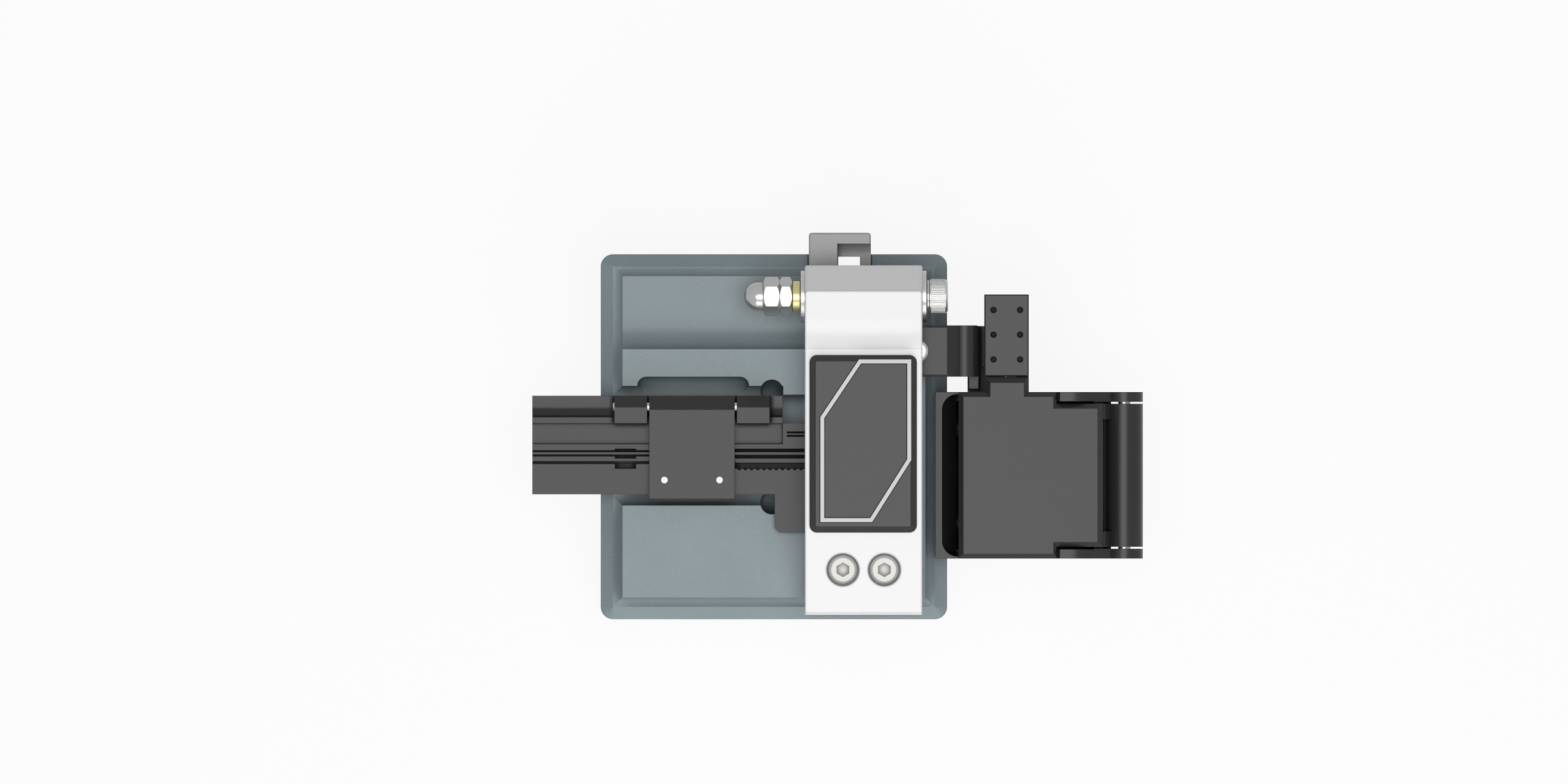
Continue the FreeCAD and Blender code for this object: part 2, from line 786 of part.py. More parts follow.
def rail_screws():
    screws = Piece("rail_screws")
    top = "(channel_floor_z + rail_tall)"
    drawing = screws.about_z(slider_mid, "rail_front + 6.5")
    profile = outline(drawing, [
        ("0", "channel_floor_z - 2"), ("0.95", "channel_floor_z - 2"), ("0.95", top + " - 1.2"),
        ("1.5", top + " - 1.2"), ("1.5", top + " - 0.15"), ("0", top + " - 0.15")])
    turned = screws.turn(profile, "V_Axis")
    guide = disc(screws.plan(top + " - 0.8"), slider_mid, "rail_front + 6.5", "0.7")
    screws.repeat([turned, screws.cut(guide, "2")], guide, "V_Axis", "rail_screw_pitch * 2", 3)


def slider_carriage():
    carriage = Piece("slider_carriage")
    half = "carriage_width / 2"
    gap = "(rail_width / 2 + bearing_gap)"
    roof = "(channel_floor_z + rail_tall + bearing_gap)"
    foot = "(channel_floor_z + carriage_lift)"
    left, right = slider_mid + " - " + half, slider_mid + " + " + half
    section = carriage.front("carriage_front + carriage_length")
    outline(section, [
        (left, foot), (slider_mid + " - " + gap, foot), (slider_mid + " - " + gap, roof),
        (slider_mid + " + " + gap, roof), (slider_mid + " + " + gap, foot), (right, foot),
        (right, "carriage_top_z"), (left, "carriage_top_z")])
    carriage.pad(section, "carriage_length")
    carriage.bevel("0.4", pick(along="Y", z="carriage_top_z"))
    # Balls that run in the rail's grooves, as a bead on each inner wall
    groove = "(channel_floor_z + rail_tall * 0.6)"
    for side in ("-", "+"):
        bead = disc(carriage.front("carriage_front + carriage_length - 1"),
                    slider_mid + side + gap, groove, "rail_groove - bearing_gap * 2")
        carriage.pad(bead, "carriage_length - 2")


def slider_body():
    slider = Piece("slider_body")
    slider.pad(slab(slider.plan("carriage_top_z"), "slider_left", slider_right, "slider_front",
                    "slider_rear"), "slider_bar_z - carriage_top_z")
    slider.pad(slab(slider.plan("slider_bar_z"), "slider_left", slider_right, "tail_front", "slider_rear"),
               "tail_z - slider_bar_z")
    slider.cut(slab(slider.plan("nose_z"), "slider_left - 1", slider_right + " + 1", "slider_front - 1",
                    "nose_rear"), "tail_z")
    slider.cut(slab(slider.plan("notch_z"), "notch_left", slider_right + " + 1", "cheek_rear", "notch_rear"),
               "tail_z")
    slider.round("notch_foot", pick(along="X", y="notch_rear", z="notch_z"))
    slider.cut(slab(slider.plan("carriage_top_z"), "blade_slot_left", "blade_slot_left + blade_slot_width",
                    "blade_slot_end", "blade_slot_rear"), "tail_z")
    slider.round("tail_corner", pick(along="Z", y="slider_rear"))
    slider.bevel("0.25", pick(z="tail_z", y="slider_rear"))
    slider.round("1.2", pick(along="Z", y="slider_front"))
    # Axle bore with a counterbore for its head, and the carriage screws
    axle = slider.side("slider_left - 1")
    slider.cut(disc(axle, "blade_y", blade_z, "axle_radius + 0.01"), "slider_width + 2")
    head = slider.side("slider_left - 1")
    slider.cut(disc(head, "blade_y", blade_z, "axle_head + 0.1"), "axle_head_deep + 1.1")
    for radius, low in (("1.9", "carriage_top_z + 2.6"), ("1.1", "carriage_top_z")):
        hole = disc(slider.plan(low), carriage_screw_x, "carriage_front + 2.2", radius)
        slider.repeat([slider.cut(hole, "tail_z")], hole, "V_Axis", carriage_screw_pitch, 2)


carriage_screw_x = "(slider_left + 2.3)"
carriage_screw_pitch = "(carriage_length - 4.4)"


def slider_screws():
    screws = Piece("slider_screws")
    place = "carriage_front + 2.2"
    drawing = screws.about_z(carriage_screw_x, place)
    profile = outline(drawing, [
        ("0", "carriage_top_z + 0.1"), ("1", "carriage_top_z + 0.1"), ("1", "carriage_top_z + 2.6"),
        ("1.85", "carriage_top_z + 2.6"), ("1.85", "carriage_top_z + 4.6"), ("0", "carriage_top_z + 4.6")])
    turned = screws.turn(profile, "V_Axis")
    guide = disc(screws.plan("carriage_top_z + 3.6"), carriage_screw_x, place, "0.85")
    socket = screws.cut(guide, "2")
    screws.repeat([turned, socket], guide, "V_Axis", carriage_screw_pitch, 2)


def blade_axle():
    axle = Piece("blade_axle")
    drawing = axle.about_x("blade_y", blade_z)
    axle.turn(outline(drawing, [
        ("slider_left + 0.15", "0"), (slider_right + " - 0.1", "0"), (slider_right + " - 0.1", "axle_radius"),
        ("slider_left + axle_head_deep", "axle_radius"), ("slider_left + axle_head_deep", "axle_head"),
        ("slider_left + 0.15", "axle_head")]))
    axle.cut(hexagon(axle.sketch("YZ_Plane", x="blade_y", y=blade_z, z="slider_left"), "0.85"), "1.2")


def blade_wheel():
    blade = Piece("blade_wheel")
    half = "(blade_thick / 2)"
    drawing = blade.about_x("blade_y", blade_z)
    blade.turn(outline(drawing, [
        (blade_x + " - " + half, "blade_bore"), (blade_x + " + " + half, "blade_bore"),
        (blade_x + " + " + half, "blade_radius - blade_edge * 2"), (blade_x + " + 0.03", "blade_radius"),
        (blade_x + " - 0.03", "blade_radius"), (blade_x + " - " + half, "blade_radius - blade_edge * 2")]))


def blade_hub():
    hub = Piece("blade_hub")
    half = "(blade_thick / 2)"
    end = "(blade_slot_width / 2 - hub_gap)"
    drawing = hub.about_x("blade_y", blade_z)
    inner = "axle_radius + pivot_gap"
    hub.turn(outline(drawing, [
        (blade_x + " - " + end, inner), (blade_x + " + " + end, inner), (blade_x + " + " + end, "hub_flange"),
        (blade_x + " + " + half, "hub_flange"), (blade_x + " + " + half, "blade_bore"),
        (blade_x + " - " + half, "blade_bore"), (blade_x + " - " + half, "hub_flange"),
        (blade_x + " - " + end, "hub_flange")]))


def fibre_plate():
    plate = Piece("fibre_plate")
    section = plate.side("plate_left")
    outline(section, [
        ("plate_front", "rim_top_z"), ("plate_rear", "rim_top_z"),
        ("plate_rear", "fibre_z - plate_cove"), ("plate_pin_y", "fibre_z - plate_cove"),
        ("plate_pin_y - plate_cove", "fibre_z"), ("plate_recess_rear", "fibre_z"),
        ("plate_recess_rear", "fibre_z - plate_recess_deep"),
        ("plate_recess_front", "fibre_z - plate_recess_deep"),
        ("plate_recess_front", "fibre_z"), ("plate_front", "fibre_z")],
        arcs={3: "-plate_cove"})
    plate.pad(section, "plate_right - plate_left")
    # Shelf under the arm: the left clamp face, and a foot that rests on the plateau
    plate.pad(slab(plate.plan("rim_top_z"), "plate_right", "shelf_right", "plate_pocket_front + mat_gap",
                   "shelf_rear"), "fibre_z - rim_top_z")
    foot = plate.plan("plateau_z")
    plate.pad(slab(foot, "shelf_left", "shelf_right", "shelf_front", "plate_front + 1"),
              "fibre_z - plateau_z")
    plate.round("shelf_corner", pick(along="Z", x="shelf_left", y="shelf_front"))
    plate.cut(slab(plate.plan("rim_top_z"), channel_left + " - slider_room", "shelf_right + 1",
                   "plate_pocket_front", "shelf_rear + 1"), "slider_bar_z + slider_room - rim_top_z")
    # Hinge knuckles with a sloping back
    for side in ("left", "right"):
        knuckle = plate.side(side + "_knuckle_left")
        outline(knuckle, [
            ("plate_recess_rear", "fibre_z - 1"), ("plate_pin_y - plate_cove", "fibre_z - plate_cove - 0.5"),
            ("plate_rear", "fibre_z - plate_cove - 0.5"), ("plate_rear", "knuckle_rear_z"),
            ("knuckle_slope_front", "knuckle_z"), ("plate_recess_rear", "knuckle_z")])
        plate.pad(knuckle, "knuckle_length")
    plate.cut(disc(plate.side("plate_left"), "plate_pin_y", "fibre_z", "lid_pin_radius + 0.01"),
              "shelf_right - plate_left")
    # Room for the lid's heel, which swings down behind the pin
    plate.cut(slab(plate.plan("fibre_z - plate_cove - 0.8"), "lid_left - cover_gap",
                   "lid_left + lid_width + cover_gap", "plate_pin_y", "plate_rear + 1"), "2")
    # Fibre grooves: narrow, with wide windows at both sides of the lid
    narrow = plate.plan("fibre_z - groove_deep")
    wide = "groove_narrow"
    for low, across in (("groove_a", wide), ("groove_b", wide), ("groove_c", "groove_c_narrow")):
        slab(narrow, "plate_left - 1", "lid_right + 0.1", low, low + " + " + across)
    plate.cut(narrow, "1")
    wide_grooves = (("groove_a", "wide_a"), ("wide_b_front", "wide_b"), ("wide_c_front", "wide_c"))
    for left, right in (("lid_right", "shelf_right + 1"), ("window_left", "window_left + window_length")):
        wide = plate.plan("fibre_z - wide_deep")
        for low, across in wide_grooves:
            slab(wide, left, right, low, low + " + " + across)
        plate.cut(wide, "1")
    tick = plate.plan("fibre_z - wide_deep")
    slab(tick, "lid_right + tick_pitch / 2", "lid_right + tick_pitch / 2 + tick_width",
         "wide_c_front - tick_long", "wide_c_front + 0.1")
    plate.repeat([plate.cut(tick, "1")], tick, "H_Axis", "tick_pitch * 10", 11)
    slit = plate.plan("fibre_z - groove_deep")
    slab(slit, "slit_left", "shelf_right + 1", "slit_front", "slit_front + slit_width")
    plate.repeat([plate.cut(slit, "1")], slit, "V_Axis", "slit_pitch", 2)
    # Seat of the left clamp pad, and blind holes for the screws from below
    plate.cut(slab(plate.plan("fibre_z - pad_thick"), left_pad_left, left_pad_left + " + pad_width",
                   "pad_rear - pad_length", "pad_rear"), "pad_thick + 1")
    hole = plate.plan("rim_top_z")
    disc(hole, base_screws()[0][0], base_screws()[0][1], "m3_hole")
    plate.repeat([plate.cut(hole, "3.6")], hole, "H_Axis", plate_screw_pitch, 2)


def right_lower_clamp():
    clamp = Piece("right_lower_clamp")
    clamp.pad(slab(clamp.plan("rim_top_z"), "right_clamp_left", "right_clamp_right",
                   "right_clamp_front", "shelf_rear"), "fibre_z - rim_top_z")
    clamp.bevel("0.3", pick(z="fibre_z", x="right_clamp_right"))
    clamp.cut(slab(clamp.plan("rim_top_z"), "right_clamp_left - 1", channel_right + " + slider_room",
                   "right_clamp_front - 1", "shelf_rear + 1"), "slider_bar_z + slider_room - rim_top_z")
    grooves = clamp.plan("fibre_z - wide_deep")
    for low, across in (("groove_a", "wide_a"), ("wide_b_front", "wide_b"), ("wide_c_front", "wide_c")):
        slab(grooves, "right_clamp_left - 1", "right_clamp_right + 1", low, low + " + " + across)
    clamp.cut(grooves, "1")
    clamp.cut(slab(clamp.plan("fibre_z - pad_thick"), right_pad_left, right_pad_left + " + pad_width",
                   "pad_rear - pad_length", "pad_rear"), "pad_thick + 1")
    for radius, low in (("1.8", "fibre_z - 2.4"), ("1.1", "rim_top_z")):
        hole = disc(clamp.plan(low), clamp_screw_x, clamp_screw_y, radius)
        clamp.repeat([clamp.cut(hole, "fibre_z")], hole, "V_Axis", clamp_screw_pitch, 2)


def clamp_block_screws():
    screws = Piece("clamp_block_screws")
    drawing = screws.about_z(clamp_screw_x, clamp_screw_y)
    profile = outline(drawing, [
        ("0", "rim_top_z - 5"), ("0.88", "rim_top_z - 5"), ("0.88", "fibre_z - 2.4"),
        ("1.72", "fibre_z - 2.4"), ("1.72", "fibre_z - 0.4"), ("0", "fibre_z - 0.4")])
    turned = screws.turn(profile, "V_Axis")
    guide = disc(screws.plan("fibre_z - 1.4"), clamp_screw_x, clamp_screw_y, "0.85")
    socket = screws.cut(guide, "2")
    screws.repeat([turned, socket], guide, "V_Axis", clamp_screw_pitch, 2)


def lower_clamp_pads():
    pads = Piece("lower_clamp_pads")
    for left in (left_pad_left, right_pad_left):
        pads.pad(slab(pads.plan("fibre_z - pad_thick"), left, left + " + pad_width",
                      "pad_rear - pad_length", "pad_rear"), "pad_thick")


def fibre_lid():
    lid = Piece("fibre_lid")
    section = lid.side("lid_left")
    outline(section, [
        ("lid_front", "lid_under_z"), ("plate_pin_y", "lid_under_z"), ("lid_rear", "lid_under_z"),
        ("lid_rear", "lid_rear_z"), ("lid_slope_front", "lid_top_z"), ("lid_front", "lid_top_z")])
    lid.pad(section, "lid_width")
    lid.pad(disc(lid.side("lid_left"), "plate_pin_y", "fibre_z", "lid_barrel"), "lid_width")
    lid.bevel("lid_bevel", pick(z="lid_top_z", y=("lid_front", "lid_slope_front - 1")))
    lid.cut(disc(lid.side("lid_left - 1"), "plate_pin_y", "fibre_z", "lid_pin_radius + pivot_gap"),
            "lid_width + 2")
    for x in ("lid_left + magnet_inset", "lid_left + lid_width - magnet_inset"):
        lid.cut(disc(lid.plan("lid_under_z + 0.6"), x, "magnet_y", "magnet_radius"), "lid_top_z")
    lid.cut(slab(lid.plan("lid_under_z - 1"), lid_pad_left, lid_pad_left + " + lid_pad_length",
                 "lid_pad_rear - lid_pad_width", "lid_pad_rear"), "1 + lid_pad_deep")


lid_pad_left = "(lid_left + (lid_width - lid_pad_length) / 2)"


def fibre_lid_pad():
    pad = Piece("fibre_lid_pad")
    pad.pad(slab(pad.plan("lid_under_z - lid_pad_proud"), lid_pad_left, lid_pad_left + " + lid_pad_length",
                 "lid_pad_rear - lid_pad_width", "lid_pad_rear"), "lid_pad_deep + lid_pad_proud")


def fibre_lid_magnets():
    magnets = Piece("fibre_lid_magnets")
    for x in ("lid_left + magnet_inset", "lid_left + lid_width - magnet_inset"):
        magnets.pad(disc(magnets.plan("lid_under_z + 0.6"), x, "magnet_y", "magnet_radius"),
                    "lid_top_z - lid_under_z - 0.6")


def fibre_lid_pin():
    pin = Piece("fibre_lid_pin")
    drawing = pin.about_x("plate_pin_y", "fibre_z")
    pin.turn(outline(drawing, [
        ("left_knuckle_left - 0.25", "0"), ("right_knuckle_right - 0.1", "0"),
        ("right_knuckle_right - 0.1", "lid_pin_radius"), ("left_knuckle_left - 0.05", "lid_pin_radius"),
        ("left_knuckle_left - 0.25", "lid_pin_radius - 0.2")]))


def hinge_post():
    post = Piece("hinge_post")
    # An eye that reaches over the slider's tail, and a leg on the base beside the slider
    post.pad(disc(post.side("post_left"), "hinge_y", "hinge_z", "post_eye"), "post_right - post_left")
    post.bevel("0.3", pick(x="post_left"))
    leg = post.side("post_leg_left")
    outline(leg, [
        ("post_leg_front", "rear_panel_z"), ("post_leg_rear", "rear_panel_z"), ("post_leg_rear", "hinge_z"),
        ("hinge_y - post_eye + 0.2", "hinge_z"), ("post_leg_front", "hinge_z - post_eye")])
    post.pad(leg, "post_right - post_leg_left")
    post.cut(disc(post.side("post_left - 1"), "hinge_y", "hinge_z", "hinge_radius + 0.01"), "post_right")
    post.cut(disc(post.plan("rear_panel_z"), post_screw_x, post_screw_y, "m3_hole"), "6.4")


def hinge_axle():
    axle = Piece("hinge_axle")
    drawing = axle.about_x("hinge_y", "hinge_z")
    axle.turn(outline(drawing, [
        ("rod_left", "0"), ("screw_head_right", "0"), ("screw_head_right", "screw_head_radius - 0.3"),
        ("screw_head_right - 0.3", "screw_head_radius"), ("screw_head_left", "screw_head_radius"),
        ("screw_head_left", "hinge_radius - 0.01"), ("rod_left", "hinge_radius - 0.01")]))
    axle.cut(hexagon(axle.sketch("YZ_Plane", x="hinge_y", y="hinge_z", z="screw_head_right"), "1.44"),
             "1.6", onward=False)


def ring_on_hinge(label, left, length, radius, hole):
    ring = Piece(label)
    washer = ring.side(left)
    disc(washer, "hinge_y", "hinge_z", radius)
    disc(washer, "hinge_y", "hinge_z", hole)
    ring.pad(washer, length)
    ring.bevel("0.15", lambda edge: len(edge.Vertexes) == 1 and edge.Curve.Radius > number(radius) - NEAR)


def nuts():
    right = "(arm_left - bearing_flange_thick - bush_length - 0.05)"
    nut = Piece("lock_nut")
    flat = nut.sketch("YZ_Plane", x="hinge_y", y="hinge_z", z=right + " - nut_thick")
    hexagon(flat, "nut_flat / cos(30 deg)", first=0)
    disc(flat, "0", "0", "hinge_radius")
    nut.pad(flat, "nut_thick")
    nut.feature("Groove", **nut_rounding(nut, right + " - nut_thick", right))
    left = "(%s - nut_thick)" % right
    acorn = Piece("acorn_nut")
    flat = acorn.sketch("YZ_Plane", x="hinge_y", y="hinge_z", z=left + " - acorn_hex")
    acorn.pad(hexagon(flat, "nut_flat / cos(30 deg)", first=0), "acorn_hex")
    acorn.feature("Groove", **nut_rounding(acorn, left + " - acorn_hex", left))
    dome = acorn.about_x("hinge_y", "hinge_z")
    tip = left + " - acorn_length"
    acorn.turn(outline(dome, [
        (tip, "0"), (left + " - acorn_hex + 0.2", "0"), (left + " - acorn_hex + 0.2", "acorn_dome"),
        (tip + " + acorn_dome", "acorn_dome")], arcs={3: "acorn_dome"}))
    bore = acorn.about_x("hinge_y", "hinge_z")
    acorn.bore(slab(bore, "rod_left", left + " + 1", "0", "hinge_radius"))


def nut_rounding(nut, left, right):
    # The cone that takes the corners off a hexagon nut at both faces
    drawing = nut.about_x("hinge_y", "hinge_z")
    for face, way in ((left, 1), (right, -1)):
        outline(drawing, [
            ("%s - %d" % (face, way), "nut_flat - 0.05"), (face, "nut_flat - 0.05"),
            ("%s + %d * 0.5" % (face, way), "nut_flat * 1.2"), ("%s - %d" % (face, way), "nut_flat * 1.2")])
    return {"Profile": drawing, "ReferenceAxis": (drawing, ["H_Axis"]), "Angle": 360.0}


def hinge_bearings():
    bearings = Piece("hinge_bearings")
    drawing = bearings.about_x("hinge_y", "hinge_z")
    inner = "hinge_radius + pivot_gap"
    for face, way in (("arm_left", 1), ("arm_right", -1)):
        outline(drawing, [
            ("%s - %d * bearing_flange_thick" % (face, way), inner),
            ("%s + %d * arm_wall" % (face, way), inner),
            ("%s + %d * arm_wall" % (face, way), "bearing_radius"), (face, "bearing_radius"),
            (face, "bearing_flange"), ("%s - %d * bearing_flange_thick" % (face, way), "bearing_flange")])
    bearings.turn(drawing)


def arm_shell():
    arm = Piece("arm_shell")
    section = arm.side("arm_left")
    rise = "(arm_hump_z - arm_top_z)"
    hump = "((arm_dip_rear - arm_dip_front) ^ 2 + %s ^ 2) / (2 * %s)" % (rise, rise)
    outline(section, [
        ("arm_front", "arm_under_z"), ("arm_bridge_front", "arm_under_z"),
        ("arm_bridge_front", "arm_bridge_z"), ("arm_bridge_rear", "arm_bridge_z"),
        ("arm_bridge_rear", "arm_under_z"), ("arm_rear", "arm_under_z"),
        ("arm_rear", "arm_slope_foot_z"), ("arm_slope_front", "arm_hump_z"), ("arm_dip_rear", "arm_hump_z"),
        ("arm_dip_front", "arm_top_z"), ("arm_front", "arm_top_z")],
        arcs={8: hump})
    arm.pad(section, "arm_width")
    arm.round("arm_heel", pick(along="X", y="arm_rear", z="arm_under_z"))
    arm.round("0.6", pick(along="X", y="arm_rear", z="arm_slope_foot_z"))
    arm.round("0.8", pick(along="X", y="arm_front", z="arm_under_z"))
    arm.round("arm_corner", pick(along="Z", y="arm_rear"))
    arm.bevel("arm_edge", pick(z="arm_top_z", y=("arm_front", "arm_dip_front - 1")))
    # Hollow under the arm, open to the rear round the hinge post
    hollow = arm.side("cavity_left")
    outline(hollow, [
        ("cavity_front", "arm_under_z - 1"), ("arm_rear + 1", "arm_under_z - 1"),
        ("arm_rear + 1", "cavity_rear_z"), ("hinge_y", "cavity_rear_z"),
        ("hinge_y", "hinge_z + eye_room"), ("arm_dip_rear - 2", "cavity_z + 0.4"),
        ("arm_dip_front - 1", "cavity_z"), ("cavity_front", "cavity_z")])
    arm.cut(hollow, "arm_width - 2 * arm_wall")
    arm.cut(disc(arm.side("cavity_left"), "hinge_y", "hinge_z", "eye_room"), "arm_width - 2 * arm_wall")
    arm.cut(disc(arm.side("arm_left - 1"), "hinge_y", "hinge_z", "bearing_radius"), "arm_width + 2")
    # Seat of the press lever in the right wall, below the arm's edge
    arm.cut(slab(arm.side("cavity_right - 1"), "lever_front - lever_room",
                 "lever_front + lever_width + lever_room", "lever_top_z - lever_thick",
                 "lever_top_z + lever_screw_tall + 2 * lever_room"), "arm_wall + 2")
    arm.cut(disc(arm.plan("arm_under_z + 0.6"), "lever_screw_x", lever_mid, "lever_screw_radius"), "3.4")
    # Two sunk cap screws and the strike plate under the handle
    for radius, low in (("cap_screw_room", "arm_top_z - cap_screw_sunk - cap_screw_head_deep"),
                        ("1.35", "arm_under_z")):
        hole = disc(arm.plan(low), "cap_screw_x", "cap_screw_y", radius)
        arm.repeat([arm.cut(hole, "arm_top_z")], hole, "H_Axis", "cap_screw_pitch", 2)
    arm.cut(slab(arm.plan("arm_under_z - 1"), "strike_left - 0.1", "strike_left + strike_length + 0.1",
                 "strike_front - 0.1", "strike_front + strike_width + 0.1"), "strike_thick + 1")


lever_mid = "(lever_front + lever_width / 2)"


def arm_screws():
    screws = Piece("arm_screws")
    top = "(arm_top_z - cap_screw_sunk)"
    drawing = screws.about_z("cap_screw_x", "cap_screw_y")
    profile = outline(drawing, [
        ("0", "arm_under_z + 0.3"), ("1.25", "arm_under_z + 0.3"), ("1.25", top + " - cap_screw_head_deep"),
        ("cap_screw_head", top + " - cap_screw_head_deep"), ("cap_screw_head", top + " - 0.3"),
        ("cap_screw_head - 0.35", top), ("0", top)])
    turned = screws.turn(profile, "V_Axis")
    key = screws.sketch("XY_Plane", x="cap_screw_x", y="cap_screw_y", z=top + " - 1.2")
    socket = screws.cut(hexagon(key, "cap_screw_hex / cos(30 deg)"), "2")
    screws.repeat([turned, socket], key, "H_Axis", "cap_screw_pitch", 2)


def strike_plate():
    strike = Piece("strike_plate")
    strike.pad(slab(strike.plan("arm_under_z"), "strike_left", "strike_left + strike_length",
                    "strike_front", "strike_front + strike_width"), "strike_thick")
    hole = disc(strike.plan("arm_under_z"), "cap_screw_x", "cap_screw_y", "1.27")
    strike.repeat([strike.cut(hole, "strike_thick")], hole, "H_Axis", "cap_screw_pitch", 2)
    strike.bevel("0.25", pick(z="arm_under_z", y="strike_front"))


def catch_magnet():
    magnet = Piece("catch_magnet")
    magnet.pad(disc(magnet.plan("plateau_z - catch_magnet_deep"), "arm_mid", "catch_magnet_y",
                    "catch_magnet_radius"), "catch_magnet_deep")
    magnet.bevel("0.2", pick(z="plateau_z"))


def arm_cover():
    cover = Piece("arm_cover")
    cover.pad(slab(cover.plan("arm_top_z"), "cover_left", "cover_right", "cover_front", "cover_rear"),
              "cover_thick")
    cover.round("cover_corner", pick(along="Z"))
    cover.bevel("cover_bevel", pick(z="arm_top_z + cover_thick"))
    groove = cover.plan("arm_top_z + cover_thick - ring_deep")
    ring_outline(groove, "0.08")
    ring_outline(groove, "-ring_width - 0.08")
    cover.cut(groove, "1")


def ring_outline(drawing, out):
    # Six-sided ring with two cut corners, moved out from its outer edge
    left, right = "(cover_left + 1.75 - (%s))" % out, "(cover_right - 0.9 + %s)" % out
    rear, front = "(cover_rear - 0.7 + %s)" % out, "(cover_front + 1.7 - (%s))" % out
    outline(drawing, [
        (left, front), ("%s - 6.3 - 0.45 * (%s)" % (right, out), front),
        (right, "%s + 10 + 0.71 * (%s)" % (front, out)), (right, rear),
        ("%s + 6.25 + 0.47 * (%s)" % (left, out), rear), (left, "%s - 9.3 - 0.7 * (%s)" % (rear, out))])


def cover_ring():
    ring = Piece("cover_ring")
    drawing = ring.plan("arm_top_z + cover_thick - ring_deep")
    ring_outline(drawing, "0")
    ring_outline(drawing, "-ring_width")
    ring.pad(drawing, "ring_deep + ring_proud")


def clamp_carrier():
    carrier = Piece("clamp_carrier")
    carrier.pad(slab(carrier.plan("carrier_under_z"), "cavity_left + carrier_gap",
                     "cavity_right - carrier_gap", "cavity_front + carrier_gap", "carrier_rear"),
                "cavity_z - carrier_under_z")
    holes = carrier.plan("carrier_under_z")
    disc(holes, blade_x, anvil_y, "anvil_stem + pivot_gap * 1.5")
    for x in (guide_left_x, "guide_right_x"):
        disc(holes, x, anvil_y, "guide_radius + spring_wire * 2 + spring_gap")
    carrier.cut(holes, "cavity_z")


guide_left_x = "(%s + pad_width / 2)" % left_pad_left
anvil_y = "(anvil_rear - anvil_length / 2)"


def upper_clamp():
    clamp = Piece("upper_clamp")
    pad_top = "(fibre_z + clamp_pad_gap + clamp_pad_thick)"
    clamp.pad(slab(clamp.plan("clamp_bar_z"), left_pad_left, "clamp_bar_right", "pad_rear - pad_length",
                   "pad_rear"), "clamp_bar_thick")
    clamp.bevel("0.3", pick(along="Z"))
    for left in (left_pad_left, right_pad_left):
        clamp.pad(slab(clamp.plan(pad_top), left, left + " + pad_width", "pad_rear - pad_length", "pad_rear"),
                  "clamp_bar_z - " + pad_top)
    # Slot that the anvil passes through, and the two guide pins
    room = "anvil_stem + anvil_room"
    clamp.cut(slab(clamp.plan(pad_top), "%s - (%s)" % (blade_x, room), "%s + %s" % (blade_x, room),
                   "anvil_rear - anvil_length - anvil_room", "anvil_rear + anvil_room"), "4")
    guides = clamp.plan("clamp_bar_z + clamp_bar_thick")
    for x in (guide_left_x, "guide_right_x"):
        disc(guides, x, anvil_y, "guide_radius")
    clamp.pad(guides, "guide_length - 0.5")


def upper_clamp_pads():
    pads = Piece("upper_clamp_pads")
    for left in (left_pad_left, right_pad_left):
        pads.pad(slab(pads.plan("fibre_z + clamp_pad_gap"), left, left + " + pad_width",
                      "pad_rear - pad_length", "pad_rear"), "clamp_pad_thick")


def anvil():
    striker = Piece("anvil")
    blade = striker.front("anvil_rear")
    half = "anvil_width / 2"
    outline(blade, [
        (blade_x + " - 0.2", "anvil_tip_z"), (blade_x + " + 0.2", "anvil_tip_z"),
        (blade_x + " + " + half, "anvil_tip_z + 0.6"), (blade_x + " + " + half, "anvil_shoulder_z"),
        (blade_x + " - " + half, "anvil_shoulder_z"), (blade_x + " - " + half, "anvil_tip_z + 0.6")])
    striker.pad(blade, "anvil_length")
    striker.pad(disc(striker.plan("anvil_shoulder_z - 0.8"), blade_x, anvil_y, "anvil_stem"),
                "anvil_stem_z - anvil_shoulder_z + 0.8")


def coil_spring(label, places, low, high, radius, kind):
    # A compression spring of square wire, given as half its thickness
    spring = Piece(label)
    for x, y in places:
        drawing = spring.about_z(x, y)
        wire = kind + "_wire"
        slab(drawing, "%s - %s" % (radius, wire), "%s + %s" % (radius, wire), low,
             "%s + %s * 2" % (low, wire))
        spring.feature("AdditiveHelix", Profile=drawing, ReferenceAxis=(drawing, ["V_Axis"]), Mode=2,
                       Height="%s - %s - %s_wire * 2" % (high, low, kind), Turns=kind + "_turns")


def press_lever():
    lever = Piece("press_lever")
    under = "(lever_top_z - lever_thick)"
    section = lever.front("lever_front + lever_width")
    outline(section, [
        ("cavity_right", under), ("lever_flat_right - 0.5", under),
        ("lever_nose_x - lever_nose * cos(45 deg)", "lever_nose_z - lever_nose * sin(45 deg)"),
        ("lever_nose_x + lever_nose", "lever_nose_z"),
        ("lever_nose_x - lever_nose * sin(16 deg)", "lever_nose_z + lever_nose * cos(16 deg)"),
        ("lever_flat_right", "lever_top_z"), ("cavity_right", "lever_top_z")],
        arcs={2: "lever_nose", 3: "lever_nose"})
    lever.pad(section, "lever_width")
    for y in ("lever_front", "lever_front + lever_width"):
        lever.bevel("lever_edge", pick(y=y, z="lever_top_z"))
    lever.cut(disc(lever.plan(under), "lever_screw_x", lever_mid, "lever_screw_radius + 0.05"), "lever_thick")
    end = "lever_nose_x + lever_nose"
    for face, way in (("lever_front", 1), ("lever_front + lever_width", -1)):
        corner = lever.plan("lever_nose_z - lever_nose")
        outline(corner, [
            (end + " - lever_corner", face), (end + " - lever_corner", "%s - %d" % (face, way)),
            (end + " + 1", "%s - %d" % (face, way)), (end + " + 1", "%s + %d * lever_corner" % (face, way)),
            (end, "%s + %d * lever_corner" % (face, way))], arcs={4: "%d * lever_corner" % -way})
        lever.cut(corner, "lever_top_z - lever_nose_z + lever_nose")


